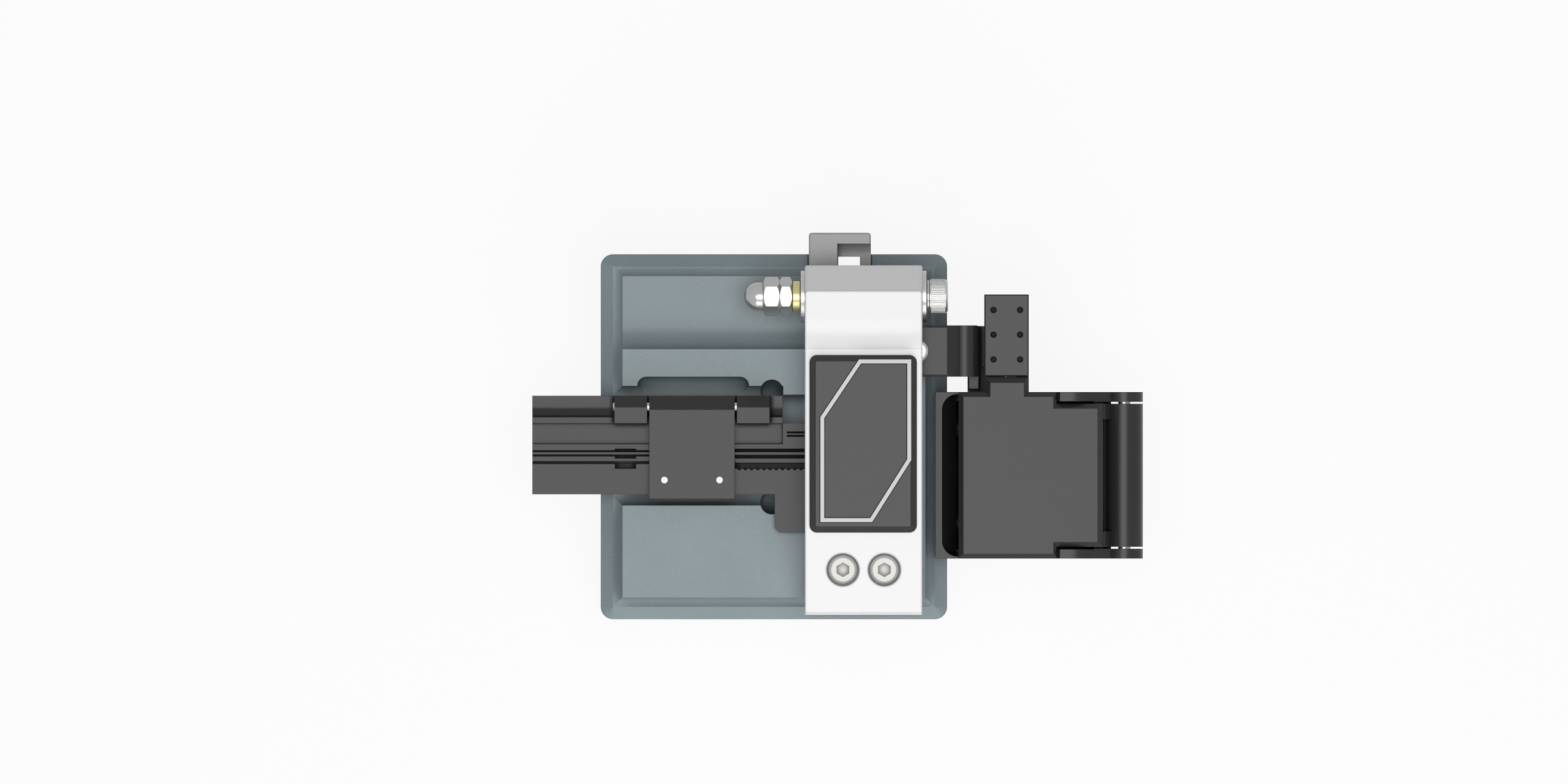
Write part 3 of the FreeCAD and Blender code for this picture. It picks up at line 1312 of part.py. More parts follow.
def press_lever_screw():
    screw = Piece("press_lever_screw")
    drawing = screw.about_z("lever_screw_x", lever_mid)
    screw.turn(outline(drawing, [
        ("0", "arm_under_z + 0.7"), ("lever_screw_radius - 0.02", "arm_under_z + 0.7"),
        ("lever_screw_radius - 0.02", "lever_top_z"), ("lever_screw_head", "lever_top_z"),
        ("lever_screw_head", "lever_top_z + lever_screw_tall - 0.4"),
        ("lever_screw_head - 0.4", "lever_top_z + lever_screw_tall"),
        ("0", "lever_top_z + lever_screw_tall")]),
        "V_Axis")


def scrap_box():
    box = Piece("scrap_box")
    box.pad(slab(box.plan("box_under_z"), base_right, "box_right", "box_front", "box_rear"),
            "box_rim_z - box_under_z")
    # Flange that hooks over the base's right rim
    box.pad(slab(box.plan("flange_under_z"), "flange_left", base_right + " + 1", "box_front", "box_rear"),
            "box_rim_z - flange_under_z")
    box.round("box_corner", pick(along="Z", x="box_right"))
    box.round("box_corner", pick(z="box_under_z"))
    # Bearing boss behind the rear wall
    box.pad(slab(box.plan("boss_under_z"), "neck_left + cover_gap", "neck_right", "box_rear - 0.5",
                 "boss_rear"), "box_rim_z - boss_under_z")
    # Cheeks that rise beside the lid and end in the hinge ears
    for rear in ("box_rear", "box_front + cheek_wall"):
        cheek = box.front(rear)
        outline(cheek, [
            ("cheek_left", "box_rim_z - 6"), ("box_hinge_x", "box_hinge_z - box_ear"),
            ("box_hinge_x", "box_hinge_z"),
            ("box_hinge_x - box_ear * 0.7", "box_hinge_z + box_ear * 0.9"), ("cheek_crest", "cheek_top_z"),
            ("cheek_left", "cheek_top_z"), ("box_hinge_x - " + cheek_swing, "box_hinge_z")],
            arcs={5: cheek_swing})
        box.pad(cheek, "cheek_wall")
        box.pad(disc(box.front(rear), "box_hinge_x", "box_hinge_z", "box_ear"), "cheek_wall")
    # Sill under the lid's barrel
    box.pad(slab(box.plan("box_hinge_z - box_ear - cover_gap - sill_thick"), "box_right - box_wall / 2",
                 "box_right + sill_reach", "box_front + cheek_wall / 2", "box_rear - cheek_wall / 2"), "sill_thick")
    box.round("cheek_round", pick(along="Y", x="cheek_crest", z="cheek_top_z"))
    # Hollow for the fibre scraps, and the rounded inlet above the flange
    box.cut(slab(box.plan("box_under_z + box_wall"), base_right + " + box_wall", "box_right - box_wall",
                 "box_front + box_wall", "box_rear - box_wall"), "cheek_top_z")
    inlet = slab(box.plan("inlet_floor_z"), "flange_left + flange_thick", "inlet_right",
                 "box_front + inlet_margin", "box_rear - inlet_margin")
    box.cut(inlet, "cheek_top_z")
    box.round("inlet_corner", pick(along="Z", x="flange_left + flange_thick"))
    ramp = box.front("box_rear - inlet_margin")
    outline(ramp, [
        ("flange_left + flange_thick / 2", "inlet_floor_z - 0.5"), (base_right + " + box_wall", "inlet_floor_z - 0.5"),
        (base_right + " + box_wall", "inlet_floor_z"), ("flange_left + flange_thick", "box_rim_z - inlet_lip"),
        ("flange_left + flange_thick / 2", "box_rim_z - inlet_lip")])
    box.pad(ramp, "box_rear - box_front - 2 * inlet_margin")
    for y in (box_screw_y_rear, "box_screw_y"):
        box.cut(disc(box.side(base_right + " - 1"), y, "box_screw_z", "m3_hole"), "box_wall + 2")
    # Lid pin, shaft bushes
    box.cut(disc(box.front("box_rear + 1"), "box_hinge_x", "box_hinge_z", "box_pin_radius + 0.01"),
            "base_depth")
    box.cut(disc(box.front("boss_rear + 1"), "drive_x", "drive_z", "shaft_radius + bush_wall"), "base_depth")


box_screw_y_rear = "(box_screw_y + box_screw_pitch)"
# The lid's edge sweeps past the cheeks on this radius about the hinge pin
cheek_swing = "sqrt((box_hinge_x - cheek_left) ^ 2 + (cheek_top_z - box_hinge_z) ^ 2)"


def scrap_box_screws():
    screws = Piece("scrap_box_screws")
    drawing = screws.about_x("box_screw_y", "box_screw_z")
    inner = "(base_width / 2 + box_wall)"
    profile = outline(drawing, [
        ("base_width / 2 - 5", "0"), (inner + " + 1.6", "0"), (inner + " + 1.6", "box_screw_head - 0.6"),
        (inner + " + 1", "box_screw_head"), (inner, "box_screw_head"), (inner, "1.5"),
        ("base_width / 2 - 5", "1.5")])
    turned = screws.turn(profile)
    cross = screws.sketch("YZ_Plane", x="box_screw_y", y="box_screw_z", z=inner + " + 0.7")
    socket = screws.cut(hexagon(cross, "1.15"), "2")
    screws.repeat([turned, socket], cross, "H_Axis", "box_screw_pitch", 2)


def scrap_lid_pin():
    pin = Piece("scrap_lid_pin")
    pin.pad(disc(pin.front("box_rear - 0.1"), "box_hinge_x", "box_hinge_z", "box_pin_radius"),
            "box_rear - box_front - 0.2")


def scrap_lid():
    lid = Piece("scrap_lid")
    inner_rear = "(box_rear - cheek_wall - cover_gap)"
    inner_front = "(box_front + cheek_wall + cover_gap)"
    top = lid.plan("lid2_under_z")
    outline(top, [
        ("lid2_left", "box_front"), ("cheek_left - cover_gap", "box_front"),
        ("cheek_left - cover_gap", inner_front),
        ("lid2_right", inner_front), ("lid2_right", inner_rear), ("cheek_left - cover_gap", inner_rear),
        ("cheek_left - cover_gap", "box_rear"), ("neck_right", "box_rear"), ("neck_right", "neck_rear"),
        ("neck_left", "neck_rear"), ("neck_left", "box_rear"), ("lid2_left", "box_rear")])
    lid.pad(top, "lid2_top_z - lid2_under_z")
    lid.bevel("lid2_bevel", pick(z="lid2_top_z"))
    hollow = lid.plan("lid2_under_z")
    lid.cut(slab(hollow, "lid2_left + lid2_wall", "lid2_right - lid2_wall", inner_front + " + lid2_wall",
                 inner_rear + " - lid2_wall"), "lid2_top_z - lid2_under_z - lid2_skin")
    for rear in ("box_rear + 1", inner_front):
        lid.cut(disc(lid.front(rear), "box_hinge_x", "box_hinge_z", cheek_swing + " + cover_gap"),
                "1 + cheek_wall + cover_gap")
    # Gate for the fibre in the left skirt
    lid.cut(slab(lid.side("lid2_left - 1"), "fibre_gate_front", "fibre_gate_rear", "lid2_under_z - 1",
                 "fibre_gate_z"), "lid2_wall + 2")
    # Hinge arms and the barrel between the box's ears
    for rear in (inner_rear, inner_front + " + lid2_arm_width"):
        arm = lid.front(rear)
        outline(arm, [
            ("lid2_right - 1", "lid2_under_z"), ("lid2_right + 0.3", "lid2_under_z"),
            ("box_hinge_x - box_ear + 0.3", "box_hinge_z + 0.4"),
            ("box_hinge_x - box_ear * 0.6", "box_hinge_z + 0.4"),
            ("box_hinge_x - box_ear * 0.6", "box_hinge_z + box_ear * 0.6"),
            ("lid2_right + lid2_arm_reach", "lid2_top_z - 2.2"),
            ("lid2_right - 1", "lid2_top_z - 1.6")])
        lid.pad(arm, "lid2_arm_width")
    barrel = lid.front(inner_rear)
    lid.pad(disc(barrel, "box_hinge_x", "box_hinge_z", "box_ear"), "%s - %s" % (inner_rear, inner_front))
    lid.cut(disc(lid.front("box_rear"), "box_hinge_x", "box_hinge_z", "box_pin_radius + pivot_gap"),
            "base_depth")
    # Bearings of the idler's axle in the front and rear skirts
    lid.cut(disc(lid.front("box_rear - 0.6"), "drive_x", "idler_z", "idler_axle + 0.01"),
            "box_rear - box_front - 1.2")


def idler_axle():
    axle = Piece("idler_axle")
    axle.pad(disc(axle.front("box_rear - 0.8"), "drive_x", "idler_z", "idler_axle"),
             "box_rear - box_front - 1.6")


def idler_roller():
    roller = Piece("idler_roller")
    drawing = roller.about_y("drive_x", "idler_z")
    rear = "(roller_front + roller_length)"
    roller.turn(outline(drawing, [
        ("roller_front", "idler_axle + pivot_gap"), (rear, "idler_axle + pivot_gap"),
        (rear, "idler_radius - 0.3"),
        (rear + " - 0.3", "idler_radius"), ("roller_front + 0.3", "idler_radius"),
        ("roller_front", "idler_radius - 0.3")]))


def drive_shaft():
    shaft = Piece("drive_shaft")
    drawing = shaft.about_y("drive_x", "drive_z")
    radius = "shaft_radius - pivot_gap"
    shaft.turn(outline(drawing, [
        ("shaft_front", "0"), ("shaft_rear", "0"), ("shaft_rear", radius + " - 0.3"),
        ("shaft_rear - 0.3", radius),
        ("shaft_front", radius)]))


def drive_roller():
    roller = Piece("drive_roller")
    drawing = roller.about_y("drive_x", "drive_z")
    rear = "(roller_front + roller_length)"
    roller.turn(outline(drawing, [
        ("roller_front", "shaft_radius - pivot_gap"), (rear, "shaft_radius - pivot_gap"),
        (rear, "roller_radius - 0.3"), (rear + " - 0.3", "roller_radius"),
        ("roller_front + 0.3", "roller_radius"),
        ("roller_front", "roller_radius - 0.3")]))


def shaft_bushes():
    bushes = Piece("shaft_bushes")
    drawing = bushes.about_y("drive_x", "drive_z")
    outer = "shaft_radius + bush_wall"
    for face, way, wall in (("(box_front + box_wall)", -1, "box_wall"),
                            ("(box_rear - box_wall)", 1, "(boss_rear - box_rear + box_wall)")):
        outline(drawing, [
            ("%s - %d * bush_lip_thick" % (face, way), "shaft_radius"),
            ("%s + %d * %s" % (face, way, wall), "shaft_radius"),
            ("%s + %d * %s" % (face, way, wall), outer), (face, outer), (face, outer + " + bush_lip"),
            ("%s - %d * bush_lip_thick" % (face, way), outer + " + bush_lip")])
    bushes.turn(drawing)


def drive_housing():
    housing = Piece("drive_housing")
    housing.pad(slab(housing.plan("housing_under_z"), "housing_left", "neck_right", "housing_front",
                     "housing_rear"), "housing_top_z - housing_under_z")
    housing.bevel("0.2", pick(z="housing_top_z"))
    housing.cut(slab(housing.plan("housing_room_under_z"), "housing_left - 1", "neck_right - housing_web",
                     "housing_room_front", "housing_room_rear"),
                "housing_top_z - housing_skin - housing_room_under_z")
    housing.cut(disc(housing.front("shaft_rear + 0.3"), "drive_x", "drive_z", "shaft_radius"), "base_depth")
    for x in ("dimple_x", "dimple_x + dimple_across"):
        dimple = disc(housing.plan("housing_top_z - dimple_deep"), x, "dimple_y", "dimple_radius")
        housing.repeat([housing.cut(dimple, "1")], dimple, "V_Axis", "dimple_pitch * 2", 3)


def crank_lever():
    crank = Piece("crank_lever")
    crank.pad(slab(crank.plan("crank_under_z"), "crank_tip", "drive_x", "crank_eye_front", "crank_rear"),
              "crank_step_z - crank_under_z")
    crank.pad(slab(crank.plan("crank_under_z"), "crank_tip", "crank_step_right", "crank_front", "crank_rear"),
              "crank_step_z - crank_under_z")
    crank.pad(slab(crank.plan("crank_step_z"), "crank_tip", "crank_pad_right", "crank_front", "crank_rear"),
              "crank_top_z - crank_step_z")
    crank.pad(disc(crank.front("crank_rear"), "drive_x", "drive_z", "crank_eye"),
              "crank_rear - crank_eye_front")
    crank.cut(disc(crank.front("crank_rear + 1"), "drive_x", "drive_z", "shaft_radius"),
              "crank_rear - crank_eye_front + 2")
    crank.bevel("0.25", pick(z="crank_top_z"))


base_casting()
base_mat()
fasteners_from_below("fibre_plate_screws", *base_screws()[0])
fasteners_from_below("hinge_post_screw", *base_screws()[1])
linear_rail()
rail_screws()
fibre_plate()
right_lower_clamp()
clamp_block_screws()
lower_clamp_pads()
fibre_lid_pin()
hinge_post()
hinge_axle()
ring_on_hinge("axle_washer", "arm_right + bearing_flange_thick + pivot_gap", "washer_thick", "washer_radius",
              "hinge_radius + 0.05")
ring_on_hinge("brass_bush", "arm_left - bearing_flange_thick - bush_length - 0.05", "bush_length",
              "bush_radius", "hinge_radius")
nuts()
catch_magnet()
scrap_box()
scrap_box_screws()
scrap_lid_pin()
shaft_bushes()
drive_housing()
slider_carriage()
slider_body()
slider_screws()
blade_axle()
blade_wheel()
blade_hub()
arm_shell()
arm_screws()
strike_plate()
arm_cover()
cover_ring()
hinge_bearings()
press_lever()
press_lever_screw()
clamp_carrier()
upper_clamp()
upper_clamp_pads()
anvil()
coil_spring("clamp_springs", [(guide_left_x, anvil_y), ("guide_right_x", anvil_y)],
            "(clamp_bar_z + clamp_bar_thick)", "cavity_z", "guide_radius + spring_wire + 0.06", "spring")
coil_spring("anvil_spring", [(blade_x, anvil_y)], "anvil_stem_z", "cavity_z",
            "anvil_stem - anvil_spring_wire", "anvil_spring")
fibre_lid()
fibre_lid_pad()
fibre_lid_magnets()
scrap_lid()
idler_axle()
idler_roller()
drive_shaft()
drive_roller()
crank_lever()

doc.recompute()
for item in doc.Objects:
    for state in ("Invalid", "Error"):
        if state in item.State:
            raise RuntimeError("%s is %s" % (item.Name, state))
os.makedirs("parts", exist_ok=True)
for body in pieces:
    if body.Shape.isNull() or not body.Shape.isValid():
        raise RuntimeError("no valid shape in " + body.Label)
    body.Shape.exportStep("parts/%s.step" % body.Label)
    box = body.Shape.BoundBox
    print("%-20s solids %d  X %.2f %.2f  Y %.2f %.2f  Z %.2f %.2f" % (
        body.Label, len(body.Shape.Solids), box.XMin, box.XMax, box.YMin, box.YMax, box.ZMin, box.ZMax))
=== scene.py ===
import json
import math

import bpy
import bmesh
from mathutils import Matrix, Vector


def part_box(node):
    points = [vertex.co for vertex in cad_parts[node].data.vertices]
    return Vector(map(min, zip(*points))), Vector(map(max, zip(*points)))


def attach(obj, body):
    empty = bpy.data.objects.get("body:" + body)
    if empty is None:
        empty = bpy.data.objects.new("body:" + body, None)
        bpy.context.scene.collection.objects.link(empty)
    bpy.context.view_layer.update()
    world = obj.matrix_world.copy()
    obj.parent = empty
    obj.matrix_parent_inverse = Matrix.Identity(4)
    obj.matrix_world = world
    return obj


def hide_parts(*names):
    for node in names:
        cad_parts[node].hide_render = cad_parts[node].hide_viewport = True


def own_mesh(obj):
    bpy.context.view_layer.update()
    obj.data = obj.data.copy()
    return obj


# Bench-top fibre cleaver: finishes, knurl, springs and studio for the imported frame. All lengths are in metres.

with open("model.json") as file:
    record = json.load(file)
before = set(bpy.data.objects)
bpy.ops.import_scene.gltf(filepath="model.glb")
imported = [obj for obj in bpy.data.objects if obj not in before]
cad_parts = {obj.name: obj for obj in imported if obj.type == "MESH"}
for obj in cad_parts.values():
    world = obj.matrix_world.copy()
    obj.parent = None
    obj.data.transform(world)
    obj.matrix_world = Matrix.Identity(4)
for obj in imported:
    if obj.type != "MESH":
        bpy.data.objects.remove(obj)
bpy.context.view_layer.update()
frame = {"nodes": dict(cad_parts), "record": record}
nodes = frame["nodes"]


def setInputs(node, values):
    for name, value in values.items():
        node.inputs[name].default_value = value
    return node


def mathNode(tree, operation, *values):
    # A number sets its input, and a socket is linked to it
    made = tree.nodes.new("ShaderNodeMath")
    made.operation = operation
    for place, value in enumerate(values):
        if isinstance(value, float):
            made.inputs[place].default_value = value
        else:
            tree.links.new(value, made.inputs[place])
    return made.outputs["Value"]


def addObject(name, data):
    made = bpy.data.objects.new(name, data)
    bpy.context.scene.collection.objects.link(made)
    return made


def nodeGroup(name, inputs, outputs):
    group = bpy.data.node_groups.new(name, "ShaderNodeTree")
    for socket, kind, value in inputs:
        made = group.interface.new_socket(socket, in_out="INPUT", socket_type=kind)
        made.default_value = value
    for socket, kind in outputs:
        group.interface.new_socket(socket, in_out="OUTPUT", socket_type=kind)
    return group, group.nodes.new("NodeGroupInput"), group.nodes.new("NodeGroupOutput")


# What a finish has where its own entry doesn't say otherwise
plainLook = {
    "metallic": 0.0, "ior": 1.5, "grainSize": 0.0004, "patchSize": 0.012, "stretch": (1.0, 1.0, 1.0),
    "toneSpread": 0.06, "speckle": 0.5, "bump": 0.1, "bumpDepth": 0.00005, "edgeGain": 3.0, "edgeRadius": 0.00012,
    "creviceReach": 0.001, "creviceDeep": 0.45, "creviceOpen": 0.85, "creviceShadeTone": 0.45, "creviceRoughness": 0.9,
}
effects = {"heightDetail": 3.0, "toneDetail": 2.0, "grainRoughness": 0.55, "edgeSamples": 6, "creviceSamples": 6}


def makeGrain():
    # Fine tooth of a painted or moulded surface, with slow changes of tone over it
    group, given, made = nodeGroup(
        "surfaceGrain",
        [("Grain Size", "NodeSocketFloat", plainLook["grainSize"]),
         ("Patch Size", "NodeSocketFloat", plainLook["patchSize"]),
         ("Stretch", "NodeSocketVector", plainLook["stretch"])],
        [("Height", "NodeSocketFloat"), ("Tone", "NodeSocketFloat")])
    place = group.nodes.new("ShaderNodeTexCoord")
    stretched = group.nodes.new("ShaderNodeVectorMath")
    stretched.operation = "MULTIPLY"
    group.links.new(place.outputs["Object"], stretched.inputs[0])
    group.links.new(given.outputs["Stretch"], stretched.inputs[1])
    for size, output, detail in (("Grain Size", "Height", "heightDetail"), ("Patch Size", "Tone", "toneDetail")):
        noise = setInputs(group.nodes.new("ShaderNodeTexNoise"),
                          {"Detail": effects[detail], "Roughness": effects["grainRoughness"]})
        group.links.new(stretched.outputs["Vector"], noise.inputs["Vector"])
        group.links.new(mathNode(group, "DIVIDE", 1.0, given.outputs[size]), noise.inputs["Scale"])
        group.links.new(noise.outputs["Fac"], made.inputs[output])
    return group


def makeEdge():
    # Where a rounded edge's direction leaves the face's own: 0 on flats, up to 1 on sharp edges. The share masks the
    # painted edge tone: a painted highlight on most finishes, painted shade on the arm
    group, given, made = nodeGroup(
        "edgeShare",
        [("Gain", "NodeSocketFloat", plainLook["edgeGain"]), ("Radius", "NodeSocketFloat", plainLook["edgeRadius"])],
        [("Share", "NodeSocketFloat"), ("Normal", "NodeSocketVector")])
    rounded = group.nodes.new("ShaderNodeBevel")
    rounded.samples = effects["edgeSamples"]
    group.links.new(given.outputs["Radius"], rounded.inputs["Radius"])
    plain = group.nodes.new("ShaderNodeNewGeometry")
    along = group.nodes.new("ShaderNodeVectorMath")
    along.operation = "DOT_PRODUCT"
    group.links.new(rounded.outputs["Normal"], along.inputs[0])
    group.links.new(plain.outputs["True Normal"], along.inputs[1])
    share = mathNode(group, "MULTIPLY", mathNode(group, "SUBTRACT", 1.0, along.outputs["Value"]),
                     given.outputs["Gain"])
    share.node.use_clamp = True
    group.links.new(share, made.inputs["Share"])
    group.links.new(rounded.outputs["Normal"], made.inputs["Normal"])
    return group


def makeCrevice():
    # Narrow grooves, small holes and inner corners: 0 on open faces, up to 1 deep inside them. The share masks painted
    # shade there and dulls the roughness
    group, given, made = nodeGroup(
        "creviceShare",
        [("Reach", "NodeSocketFloat", plainLook["creviceReach"]), ("Deep", "NodeSocketFloat", plainLook["creviceDeep"]),
         ("Open", "NodeSocketFloat", plainLook["creviceOpen"])],
        [("Share", "NodeSocketFloat")])
    hidden = group.nodes.new("ShaderNodeAmbientOcclusion")
    hidden.samples = effects["creviceSamples"]
    hidden.only_local = True
    group.links.new(given.outputs["Reach"], hidden.inputs["Distance"])
    share = setInputs(group.nodes.new("ShaderNodeMapRange"), {"To Min": 1.0, "To Max": 0.0})
    group.links.new(hidden.outputs["AO"], share.inputs["Value"])
    group.links.new(given.outputs["Deep"], share.inputs["From Min"])
    group.links.new(given.outputs["Open"], share.inputs["From Max"])
    group.links.new(share.outputs["Result"], made.inputs["Share"])
    return group


grainGroup = makeGrain()
edgeGroup = makeEdge()
creviceGroup = makeCrevice()


def placeGroup(tree, group, values):
    placed = tree.nodes.new("ShaderNodeGroup")
    placed.node_tree = group
    return setInputs(placed, values).outputs


def mixColours(tree, below, above, share):
    # The second colour over the first, by the share. A colour is a socket or three numbers
    mix = tree.nodes.new("ShaderNodeMix")
    mix.data_type = "RGBA"
    for socket, colour in (("A", below), ("B", above)):
        if isinstance(colour, bpy.types.NodeSocket):
            tree.links.new(colour, mix.inputs[socket])
        else:
            mix.inputs[socket].default_value = [*colour, 1.0]
    tree.links.new(share, mix.inputs["Factor"])
    return mix.outputs["Result"]


def makeMaterial(name, ownLook):
    look = {**plainLook, **ownLook}
    material = bpy.data.materials.new(name)
    material.use_nodes = True
    tree = material.node_tree
    surface = setInputs(tree.nodes["Principled BSDF"], {"Metallic": look["metallic"], "IOR": look["ior"]})
    grain = placeGroup(tree, grainGroup, {"Grain Size": look["grainSize"], "Patch Size": look["patchSize"],
                                          "Stretch": look["stretch"]})
    edge = placeGroup(tree, edgeGroup, {"Gain": look["edgeGain"], "Radius": look["edgeRadius"]})
    crevice = placeGroup(tree, creviceGroup, {"Reach": look["creviceReach"], "Deep": look["creviceDeep"],
                                              "Open": look["creviceOpen"]})
    # Colour: speckled between a darker and a lighter version, then the painted edge tone (painted highlight, painted
    # shade on the arm), then painted shade in crevices
    darker, lighter, deep = ([c * tone for c in look["color"]] for tone in
                             (1 - look["toneSpread"], 1 + look["toneSpread"], look["creviceShadeTone"]))
    speckle = mathNode(tree, "MULTIPLY_ADD", grain["Height"], look["speckle"],
                       mathNode(tree, "MULTIPLY", grain["Tone"], 1 - look["speckle"]))
    colour = mixColours(tree, darker, lighter, speckle)
    colour = mixColours(tree, colour, look.get("paintedEdgeTone", look["color"]), edge["Share"])
    colour = mixColours(tree, colour, deep, crevice["Share"])
    tree.links.new(colour, surface.inputs["Base Color"])
    dulled = setInputs(tree.nodes.new("ShaderNodeMapRange"),
                       {"To Min": look["roughness"], "To Max": look["creviceRoughness"]})
    tree.links.new(crevice["Share"], dulled.inputs["Value"])
    tree.links.new(dulled.outputs["Result"], surface.inputs["Roughness"])
    bump = setInputs(tree.nodes.new("ShaderNodeBump"), {"Strength": look["bump"], "Distance": look["bumpDepth"]})
    tree.links.new(grain["Height"], bump.inputs["Height"])
    tree.links.new(edge["Normal"], bump.inputs["Normal"])
    tree.links.new(bump.outputs["Normal"], surface.inputs["Normal"])
    return material


# Finishes: one for each slot of the frame, and two more for the small steel pieces, nutSteel and screwSteel
# The edge colour of a finish is a painted highlight along its edges, painted shade on the arm's; the crevice tone is
# painted shade in grooves, holes and inner corners
looks = {
    # The casting's wide crevice reach and low crevice tone paint shade into its recess and along the feet of its walls
    "casting_paint": {"color": (0.231, 0.287, 0.307), "paintedEdgeTone": (0.3, 0.36, 0.38), "roughness": 0.46,
                      "patchSize": 0.009, "toneSpread": 0.2, "bump": 0.4,
                      "creviceReach": 0.005, "creviceDeep": 0.55, "creviceOpen": 0.82, "creviceShadeTone": 0.22},
    # The arm's grey edge colour is painted shade along its edges
    "arm_paint": {"color": (0.9, 0.9, 0.9), "paintedEdgeTone": (0.5, 0.5, 0.5), "roughness": 0.24,
                  "edgeRadius": 0.0005, "edgeGain": 10.0, "creviceShadeTone": 0.85,
                  "grainSize": 0.0005, "patchSize": 0.016, "toneSpread": 0.02},
    "grey_anodised": {"color": (0.43, 0.43, 0.427), "paintedEdgeTone": (0.55, 0.55, 0.55), "roughness": 0.42,
                      "toneSpread": 0.08, "bump": 0.25},
    "black_moulding": {"color": (0.024, 0.024, 0.024), "paintedEdgeTone": (0.05, 0.05, 0.05), "roughness": 0.3,
                       "ior": 1.34, "grainSize": 0.0003, "toneSpread": 0.05, "bump": 0.06},
    "black_anodised": {"color": (0.024, 0.023, 0.023), "paintedEdgeTone": (0.055, 0.054, 0.053), "roughness": 0.3,
                       "ior": 1.34, "stretch": (0.15, 1.0, 1.0), "toneSpread": 0.08, "bump": 0.06,
                       "creviceShadeTone": 0.3, "creviceDeep": 0.6, "creviceOpen": 0.9},
    "dark_pad": {"color": (0.03, 0.03, 0.031), "paintedEdgeTone": (0.05, 0.05, 0.05), "roughness": 0.3,
                 "ior": 1.34, "grainSize": 0.0003, "bump": 0.06},
    "pale_line": {"color": (0.6, 0.6, 0.6), "roughness": 0.3, "bump": 0.0},
    "steel": {"color": (0.5, 0.5, 0.495), "roughness": 0.26, "metallic": 0.7, "grainSize": 0.0002,
              "toneSpread": 0.08, "bump": 0.06},
    "bright_steel": {"color": (0.5, 0.5, 0.495), "roughness": 0.18, "metallic": 0.6, "bump": 0.02},
    "nutSteel": {"color": (0.42, 0.42, 0.416), "roughness": 0.18, "metallic": 0.7, "bump": 0.02},
    "brass": {"color": (0.58, 0.51, 0.25), "roughness": 0.26, "metallic": 0.6, "bump": 0.05},
    "rubber_black": {"color": (0.022, 0.022, 0.022), "roughness": 0.8, "grainSize": 0.0005, "bump": 0.3},
    "clamp_rubber": {"color": (0.03, 0.024, 0.02), "roughness": 0.7, "bump": 0.2},
    "carbide": {"color": (0.33, 0.33, 0.335), "roughness": 0.2, "metallic": 0.8, "bump": 0.04},
    "screwSteel": {"color": (0.6, 0.595, 0.57), "roughness": 0.42, "metallic": 0.15, "bump": 0.05, "creviceShadeTone": 0.85},
}
materials = {name: makeMaterial(name, look) for name, look in looks.items()}

# Nodes with another finish than their slot's
repainted = {"arm_screws": "screwSteel", "scrap_box_screws": "black_anodised", "acorn_nut": "nutSteel",
             "lock_nut": "nutSteel"}
slotOf = {entry["node"]: entry["material_slot"] for entry in frame["record"]["subparts"]}
for name, node in nodes.items():
    node.data.materials.clear()
    node.data.materials.append(materials[repainted.get(name, slotOf[name])])
print("finishes", len(materials))

# Knurl: fine straight ribs round the head of the hinge screw, between its neck and its end chamfer
knurl = {"ribCount": 60, "ribSides": 8, "ribRadius": 0.00013, "ribLength": 0.00232, "sunk": 0.00005,
         "endChamfer": 0.0004, "finish": "bright_steel"}


def makeRibRing():
    # Ribs stand on a ring about the X axis. All sizes come in through named inputs
    tree = bpy.data.node_groups.new("ribRing", "GeometryNodeTree")
    tree.interface.new_socket("Geometry", in_out="OUTPUT", socket_type="NodeSocketGeometry")
    for socket, kind in (("Rib Count", "NodeSocketInt"), ("Rib Sides", "NodeSocketInt"),
                         ("Ring Radius", "NodeSocketFloat"), ("Rib Radius", "NodeSocketFloat"),
                         ("Rib Length", "NodeSocketFloat"), ("Centre", "NodeSocketVector"),
                         ("Finish", "NodeSocketMaterial")):
        tree.interface.new_socket(socket, in_out="INPUT", socket_type=kind)
    given = tree.nodes.new("NodeGroupInput")
    made = tree.nodes.new("NodeGroupOutput")
    ring = tree.nodes.new("GeometryNodeMeshCircle")
    tree.links.new(given.outputs["Rib Count"], ring.inputs["Vertices"])
    tree.links.new(given.outputs["Ring Radius"], ring.inputs["Radius"])
    rib = tree.nodes.new("GeometryNodeMeshCylinder")
    tree.links.new(given.outputs["Rib Sides"], rib.inputs["Vertices"])
    tree.links.new(given.outputs["Rib Radius"], rib.inputs["Radius"])
    tree.links.new(given.outputs["Rib Length"], rib.inputs["Depth"])
    spot = tree.nodes.new("GeometryNodeInputPosition")
    outward = tree.nodes.new("FunctionNodeAlignRotationToVector")
    outward.axis = "X"
    outward.pivot_axis = "Z"
    tree.links.new(spot.outputs["Position"], outward.inputs["Vector"])
    placed = tree.nodes.new("GeometryNodeInstanceOnPoints")
    tree.links.new(ring.outputs["Mesh"], placed.inputs["Points"])
    tree.links.new(rib.outputs["Mesh"], placed.inputs["Instance"])
    tree.links.new(outward.outputs["Rotation"], placed.inputs["Rotation"])
    turned = setInputs(tree.nodes.new("GeometryNodeTransform"), {"Rotation": (0.0, math.radians(90), 0.0)})
    tree.links.new(placed.outputs["Instances"], turned.inputs["Geometry"])
    tree.links.new(given.outputs["Centre"], turned.inputs["Translation"])
    joined = tree.nodes.new("GeometryNodeRealizeInstances")
    tree.links.new(turned.outputs["Geometry"], joined.inputs["Geometry"])
    finish = tree.nodes.new("GeometryNodeSetMaterial")
    tree.links.new(joined.outputs["Geometry"], finish.inputs["Geometry"])
    tree.links.new(given.outputs["Finish"], finish.inputs["Material"])
    tree.links.new(finish.outputs["Geometry"], made.inputs["Geometry"])
    return tree


